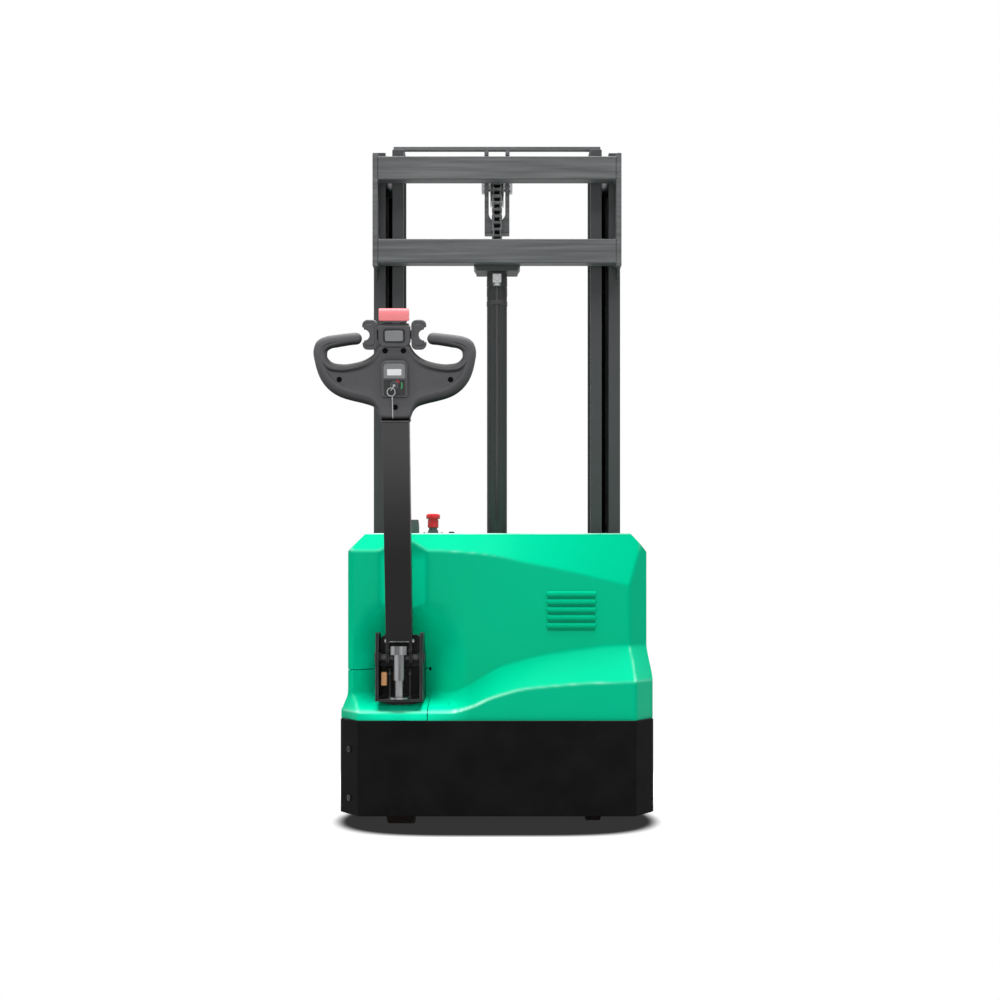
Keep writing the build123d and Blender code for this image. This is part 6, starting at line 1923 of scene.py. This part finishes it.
@dataclass
class TillerBase:
    """Bracket that the tiller tilts in, with the gas spring, studs and limit switch."""

    x: float = -246.0
    pivot: Pair = (38.0, 432.0)
    boss_radius: float = 13.0
    boss_spans: tuple = ((59.5, 63.5), (52.5, 46.0))  # outer and inner boss, from the bracket's middle
    base_z: float = 328.0
    stud_x: float = 25.5
    stud_s: float = 46.0
    stud_top: float = 402.0
    stud_radius: float = 3.6
    nut_across: float = 12.0
    switch_low: Triple = (-292.0, 24.0, 361.0)
    switch_high: Triple = (-277.5, 42.0, 395.0)
    web_span: Pair = (86.0, 92.0)
    web_middle: float = 447.0
    web_half: Pair = (53.0, 41.0)
    web_corners: Pair = (16.0, 2.0)

    def bosses(self) -> Form:
        """Round bosses on both faces of each side plate, about the pivot pin."""
        r = self.boss_radius
        parts = []
        for low, high in (np.array(span) * side for side in SIDES for span in self.boss_spans):
            well = high - 0.3 * (high - low)
            profile = [(0, low), (r, low), (r, high - 0.2 * (high - low)), (r - 1.2, high), (5, high),
                       (4.4, well), (0, well)]
            parts.append(turned(profile, (self.x, *self.pivot), Axis.ACROSS, 40))
        return join(parts)

    def studs(self) -> Form:
        """Two upright studs beside the spring, each with a nut on the base and one near its top."""
        low, high = self.base_z, self.stud_top
        parts = []
        for x in (self.x - self.stud_x, self.x + self.stud_x):
            spot = (x, self.stud_s, 0.0)
            parts.append(turned(rod(self.stud_radius, low - 2, high), spot, Axis.UP, 16))
            parts += [hexagon(self.nut_across, start, end, spot, Axis.UP)
                      for start, end in ((low - 1, low + 6), (high - 14, high - 8))]
        return join(parts)

    def build(self) -> None:
        """Make the bracket and what stands in it."""
        carry(BRACKET_BLACK, 2.4, "tiller_bracket", segments=3)
        carry(HUB_CAST, 0.8, "tiller_pivot_pin")
        carry(SPRING_STEEL, 1.2, "gas_spring_sleeve")
        carry(SPRING_STEEL, 1.0, "gas_spring_tube")
        add_piece("pivot_bosses", self.bosses(), BRACKET_BLACK, "drive_unit")
        add_piece("bracket_studs", self.studs(), DARK_PLASTIC, "drive_unit")
        web = plate((self.x, self.web_middle), self.web_half, self.web_corners, self.web_span)
        add_piece("bracket_back_web", web, BRACKET_BLACK, "drive_unit", bevel=1.5)
        switch = block(self.switch_low, self.switch_high)
        add_piece("limit_switch", switch, TAN_MOULDING, "drive_unit", bevel=2.0)


@dataclass
class Tiller:
    """Arm, looped head, panel, key and switches, modelled upright about the pivot and then leaned back."""

    x: float = -246.0
    pivot: Pair = (38.0, 432.0)
    lean_degrees: float = 13.0
    foot_bar: tuple = ((-38.0, -5.0, 39.0), (38.0, 5.0, 47.5))
    start: float = 597.0  # head's foot along the arm
    outer: tuple = (
        (0, 0), (22, 0), (34, 1.2), (37.5, 10), (41.5, 20), (53, 33), (76, 41), (101, 47), (126, 54),
        (147, 64), (167, 81), (183, 106), (192, 136), (196, 163), (191, 184), (178, 197), (160, 203),
        (132, 207), (100, 210.6), (92, 211), (84, 208), (79.6, 202), (78, 196.5))
    inner: tuple = (
        (0, 196), (14, 194), (27, 190), (36, 184), (41, 174), (48, 164), (59, 154), (76, 145), (98, 139),
        (122, 136), (144, 138), (157, 145), (163, 155), (162, 165), (156, 171), (148, 174), (138, 175.5),
        (124, 178), (100, 181.6), (92, 182.2), (84, 185), (79.6, 191), (78, 196.5))
    thickness: tuple = (
        (0, 17.2), (10, 17.2), (14, 15.4), (18, 15.0), (19, 14.6), (20, 12.4), (21, 8.0), (22, 0.0))
    outer_rim: tuple = ((0, 14.0), (3, 17.0), (6, 25.0), (12, 25.0), (15, 20.0), (18, 14.5), (22, 14.5))
    inner_rim: float = 12.5
    rim_most: Pair = (0.52, 0.48)  # most of the width that the outer and the inner rim take
    recess: float = 2.4
    wing_recess: float = 2.6  # how much deeper it is on the wings
    wings: Pair = (5.0, 2.0)  # station where they begin, and over how many the recess deepens
    recess_ease: float = 9.0
    rows_per_station: int = 6
    neck_half: float = 38.0
    neck_foot: float = 176.0
    neck_top: float = 229.0
    neck_corners: Pair = (7.0, 16.0)
    neck_depth: float = 18.0
    lip_half: Pair = (34.6, 20.6)
    panel_half: Pair = (31.5, 44.0)
    panel_corners: Pair = (15.0, 6.0)
    panel_rise: float = 102.0
    panel_face: float = -30.0
    panel_back: float = -14.0
    # On the panel: finish, rise from its middle, half size, corners, faces from its own, edge rounding
    panel_plates: tuple = (("panel_upper_field", GREY_PLASTIC, 20, (25.5, 17.5), (9.0, 3.0), (-0.9, 2), 0.5),
                           ("panel_display", DISPLAY_PALE, 17, (17.2, 7.4), (1.5, 1.5), (-1.5, 1), 0.3),
                           ("panel_key_field", DARK_PLASTIC, -20, (25.5, 19.0), (3.0, 4.0), (-0.7, 2), 0.5))
    # Round the lock: finish, radii and angles
    lock_marks: tuple = (("key_mark_red", RED_MARK, (11.0, 15.0), 28, 68),
                         ("key_mark_green", GREEN_MARK, (16.5, 19.5), -28, 22))
    mark_proud: float = 1.1
    lock_rise: float = 88.0
    lock_radius: float = 11.0
    lock_height: float = 6.0
    shaft_rise: float = 206.0
    rocker_span: Pair = (41.0, 76.0)
    rocker_half: float = 35.0
    rocker_depth: float = 15.0
    rocker_corner: float = 12.0
    pad_share: float = 0.72
    pad_proud: float = 3.0
    notch_x: float = 75.0
    notch_radius: float = 17.5
    bow: tuple = ((4, -1.25), (9.4, -1.25), (10, -0.7), (10, 0.7), (9.4, 1.25), (4, 1.25), (4, -1.25))
    bow_axis: Triple = (0.8, 0.0, -0.6)
    bow_out: float = 10.0
    ring: Pair = (-7.0, -14.5)  # its middle from the lock
    ring_radii: Pair = (9.5, 1.3)  # of the ring and of its wire
    blade: tuple = (
        (-4, -36), (-4, -74), (0, -78), (4, -74), (4, -68), (2.4, -66), (4, -63), (4, -58), (2.2, -56),
        (4, -53), (4, -36))
    spare_head: Pair = (6.4, -30.0)  # radius of the spare key's head, and its middle from the lock
    spare_span: Pair = (1.8, 4.2)  # from the ring's middle
    screw_spots: tuple = (
        (-22, 169, 18.0), (22, 169, 18.0), (-134, 100, 13.2), (134, 100, 13.2), (0, 34, 17.0))
    belly_rise: float = 24.5
    belly_half: Triple = (36.0, 17.0, 14.5)
    belly_corners: Pair = (13.5, 4.0)
    belly_stem: float = 18.0
    horn_rise: float = 204.0
    horn_half: Pair = (22.0, 12.5)
    horn_gap: float = 2.6
    horn_span: Pair = (-22.0, -15.0)

    def leaned(self, form: Form) -> Form:
        """Form given as (x, n, w) put in place.

        The point at n forwards and w along the arm turns about the pivot by the lean, so it lies at
        pivot + (n cos - w sin, n sin + w cos).

        Args:
            form: points from place(x, n, w).

        Returns:
            The same faces on the moved points.
        """
        x, y, w = form.points.T / MM
        n = y + SKIRT_FACE
        cos, sin = np.cos(np.radians(self.lean_degrees)), np.sin(np.radians(self.lean_degrees))
        points = place(self.x + x, self.pivot[0] + n * cos - w * sin, self.pivot[1] + n * sin + w * cos)
        return Form(points, form.faces)

    def add(self, name: str, form: Form, finish: Finish, body: str = "tiller", nodes: Sequence[str] = (),
            **options: float) -> None:
        """Make a piece of the leaned tiller."""
        add_piece(name, self.leaned(form), finish, body, nodes, **options)

    def grips(self) -> Form:
        """Head as one closed band from grip end to grip end.

        Rows follow stations along an outer and an inner edge. Across a row the distance d from each edge
        gives a swell, sqrt(1 - (1 - d / rim)^2) inside that edge's rim and 1 beyond it. The half thickness
        is the full one times both swells, less a shallow eased recess. Front and back carry opposite signs.

        Returns:
            The band, closed at both grip ends where its edges meet.
        """
        last = len(self.outer) - 1
        u = np.linspace(0, last, last * self.rows_per_station + 1)
        outer, inner = (
            np.stack([curve_through(list(enumerate(values)), u) for values in zip(*edge)], axis=-1)
            for edge in (self.outer, self.inner))
        width = np.linalg.norm(inner - outer, axis=-1)[:, None]
        most = width * self.rim_most + TINY
        outside = np.minimum(curve_through(self.outer_rim, u)[:, None], most[:, :1])
        inside = np.minimum(self.inner_rim, most[:, 1:])
        curl = 1 - np.cos(np.linspace(0, np.pi / 2, 9))
        middle = outside + (width - outside - inside) * np.linspace(0, 1, 16)[1:-1]
        d = np.concatenate([outside * curl, middle, width - inside * curl[::-1]], axis=1)
        depth = curve_through(self.thickness, u)[:, None]
        for share in (d / outside, (width - d) / inside):
            depth = depth * np.sqrt(1 - (1 - np.clip(share, 0, 1)) ** 2)
        ease = np.clip(np.minimum(d - outside, width - d - inside) / self.recess_ease, 0, 1)
        wing = np.clip((u - self.wings[0]) / self.wings[1], 0, 1)[:, None]
        depth = depth - (self.recess + self.wing_recess * wing) * ease**2 * (3 - 2 * ease)
        share = (d / np.maximum(width, TINY))[..., None]
        flat = outer[:, None] * (1 - share) + inner[:, None] * share
        back = slice(-2, 0, -1)
        flat = np.concatenate([flat, flat[:, back]], axis=1)
        deep = np.concatenate([-depth, depth[:, back]], axis=1)
        right, left = (place(side * flat[..., 0], deep, self.start + flat[..., 1]) for side in (1, -1))
        return lattice(np.concatenate([left[:0:-1], right]), wrap=True)

    def neck(self) -> Form:
        """Upper neck between the switches, with the shoulders drawn in at its foot."""
        low, high = self.start + self.neck_foot, self.start + self.neck_top
        half = (self.neck_half, (high - low) / 2)
        return plate((0.0, (low + high) / 2), half, self.neck_corners, (-self.neck_depth, self.neck_depth))

    def lip(self) -> Form:
        """Rolled lip where the head's socket grips the arm: a bead along a rounded rectangle."""
        loop = rounded((0.0, 0.0), self.lip_half, 6.0, 6.0)
        return rim(loop, self.start, circle(1.0, 12) * [1.8, 2.4], Axis.UP)

    def screws(self) -> Form:
        """Screw wells on the head's face, a thin rim and a sunk floor each, near-black as painted shade in
        the holes.
        """
        well = [(0, 3), (6.4, 3), (6.4, -0.3), (5.8, -0.6), (5.2, -0.2), (4.9, 0.4), (0, 0.4)]
        return join(turned(well, (x, -face, self.start + rise), Axis.ALONG, 28)
                    for x, rise, face in self.screw_spots)

    def rockers(self) -> Form:
        """Thumb switches: on each side a rounded plate with a round notch in its outer edge, and a pad."""
        centre = self.start + self.shaft_rise
        near, far = self.rocker_span
        corner, r, face = self.rocker_corner, self.notch_radius, -self.rocker_depth
        whole = rounded(((near + far) / 2, centre), ((far - near) / 2, self.rocker_half), corner, corner)
        depth = far - self.notch_x
        opening = np.arctan2(np.sqrt(r**2 - depth**2), depth)
        angle = np.linspace(opening, 2 * np.pi - opening, 25)[::-1]
        notch = np.stack([self.notch_x + r * np.cos(angle), centre + r * np.sin(angle)], axis=-1)
        outline = np.concatenate([whole, notch])
        middle = np.mean(outline, axis=0)
        pad = middle + (outline - middle) * self.pad_share
        return join(slab(shape * [side, 1], *span, Axis.ALONG) for side in SIDES
                    for shape, span in ((outline, (face, -face)), (pad, (face - self.pad_proud, face + 1))))

    def hubs(self) -> Form:
        """Round hubs that carry the thumb switches on their shaft."""
        hub = np.array([(0, 39.2), (10.5, 39.2), (12, 40.5), (12, 47), (10, 48), (0, 48)])
        spot = (0.0, 0.0, self.start + self.shaft_rise)
        return join(turned(hub * [1, side], spot, Axis.ACROSS, 32) for side in SIDES)

    def key(self) -> Form:
        """Key in the lock: stem, pierced bow turned aslant, wire ring and a spare key seen edge-on."""
        w = self.start + self.lock_rise
        face = self.panel_face - self.lock_height - 0.4
        out = face - self.bow_out
        stem = turned(rod(3.0, face, face - 6.5, -0.5), (0.0, 0.0, w), Axis.ALONG, 18)
        bow = turned(self.bow, (-2.5, out, w - 4.0), self.bow_axis, 40)
        angle = around(48)
        round_off = np.stack([np.cos(angle), np.sin(angle)], axis=-1)
        x, rise = self.ring
        radius, wire = self.ring_radii
        ring = rim([x, w + rise] + radius * round_off, out, circle(wire, 10), Axis.ALONG)
        radius, fall = self.spare_head
        head = radius * round_off[5:44, ::-1] + [0, fall]
        outline = np.concatenate([head[::-1], np.array(self.blade, float)]) + [out, w]
        spare = slab(outline, *(x + level for level in self.spare_span), Axis.ACROSS)
        return join([stem, bow, ring, spare])

    def panel(self) -> None:
        """Make the panel with its display, the dark key field, the lock and the coloured marks beside it."""
        mid, face = self.start + self.panel_rise, self.panel_face
        case = plate((0.0, mid), self.panel_half, self.panel_corners, (face, self.panel_back))
        self.add("panel_case", case, MOULDED_BLACK, nodes=["control_panel"], bevel=3.0, segments=3)
        for name, finish, rise, half, corners, (low, high), bevel in self.panel_plates:
            form = plate((0.0, mid + rise), half, corners, (face + low, face + high))
            self.add(name, form, finish, bevel=bevel)
        spot = (0.0, self.start + self.lock_rise)
        end, r = face - self.lock_height, self.lock_radius
        lock = [(0, face + 1), (r, face + 1), (r, end + 1.5), (r - 1, end), (5.4, end), (4.6, end + 1.2),
                (0, end + 1.2)]
        self.add("key_lock", turned(lock, (0.0, *spot), Axis.ALONG, 36), HUB_CAST)
        for name, finish, radii, start, stop in self.lock_marks:
            mark = slab(sector(spot, radii, start, stop), face - self.mark_proud, face, Axis.ALONG)
            self.add(name, mark, finish)
        self.add("key_set", self.key(), PLATED_STEEL, "ignition_key", ["ignition_key"])

    def buttons(self) -> None:
        """Make the belly button with its guard, the horn button with its frame, and the thumb switches."""
        top = self.start + self.neck_top
        wide, *half = self.belly_half
        outline = rounded((0.0, top + self.belly_rise), half, *self.belly_corners, 10)
        cap = slab(outline, -wide, wide, Axis.ACROSS)
        self.add("belly_button_cap", cap, BELLY_RED, "belly_button", ["belly_button"], bevel=1.6, segments=3)
        foot = plate((0.0, 0.0), (30.0, 12.5), (6.0, 6.0), (top + 6.3, top + 11), Axis.UP)
        stem = rod(5.0, top - 4, top + 11)
        stems = [turned(stem, (side * self.belly_stem, 0.0, 0.0), Axis.UP, 20) for side in SIDES]
        self.add("belly_button_foot", join([foot, *stems]), CASE_GREY, "belly_button")
        loop = rounded((0.0, 0.0), (33.0, 14.6), 7.0, 7.0)
        guard = rim(loop, top + 0.4, circle(1.0, 10) * [2.0, 3.2], Axis.UP)
        self.add("belly_guard", guard, DARK_PLASTIC, sharp=60)
        spot = (0.0, self.start + self.horn_rise)
        horn = plate(spot, self.horn_half, (5.0, 5.0), self.horn_span)
        self.add("horn_button_cap", horn, GREY_PLASTIC, "horn_button", ["horn_button"], bevel=1.8, segments=3)
        loop = rounded(spot, [half + self.horn_gap for half in self.horn_half], 6.5, 6.5)
        frame_bead = rim(loop, -self.neck_depth, circle(1.0, 10) * [1.9, 2.0], Axis.ALONG)
        self.add("horn_frame", frame_bead, DARK_PLASTIC, sharp=60)
        body = "thumb_switches"
        self.add("thumb_rockers", self.rockers(), MOULDED_BLACK, body, [body], bevel=4.0, segments=4)
        self.add("thumb_hubs", self.hubs(), DARK_PLASTIC, body)

    def build(self) -> None:
        """Make the arm, the head and everything on it."""
        carry(ARM_BLACK, 4.0, "tiller_arm", segments=3)
        self.add("arm_foot_bar", block(*self.foot_bar), PLATED_STEEL, bevel=2.0)
        self.add("head_band", self.grips(), MOULDED_BLACK, nodes=["tiller_head"], sharp=60)
        self.add("head_neck", self.neck(), MOULDED_BLACK, bevel=4.0, segments=3)
        self.add("head_lip", self.lip(), MOULDED_BLACK, sharp=60)
        self.add("screw_wells", self.screws(), PAINTED_SHADE_BLACK)
        self.panel()
        self.buttons()


def main() -> None:
    """Build the truck piece by piece, then the studio."""
    logging.basicConfig(level=logging.INFO, format="%(name)s: %(message)s")
    for assembly in (Covers, Chassis, CoverTop, OuterMast, InnerMast, LiftCylinder, ChainDrive, Carriage,
                     DriveUnit, TillerBase, Tiller, Studio):
        assembly().build()
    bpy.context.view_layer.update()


if __name__ == "__main__":
    main()
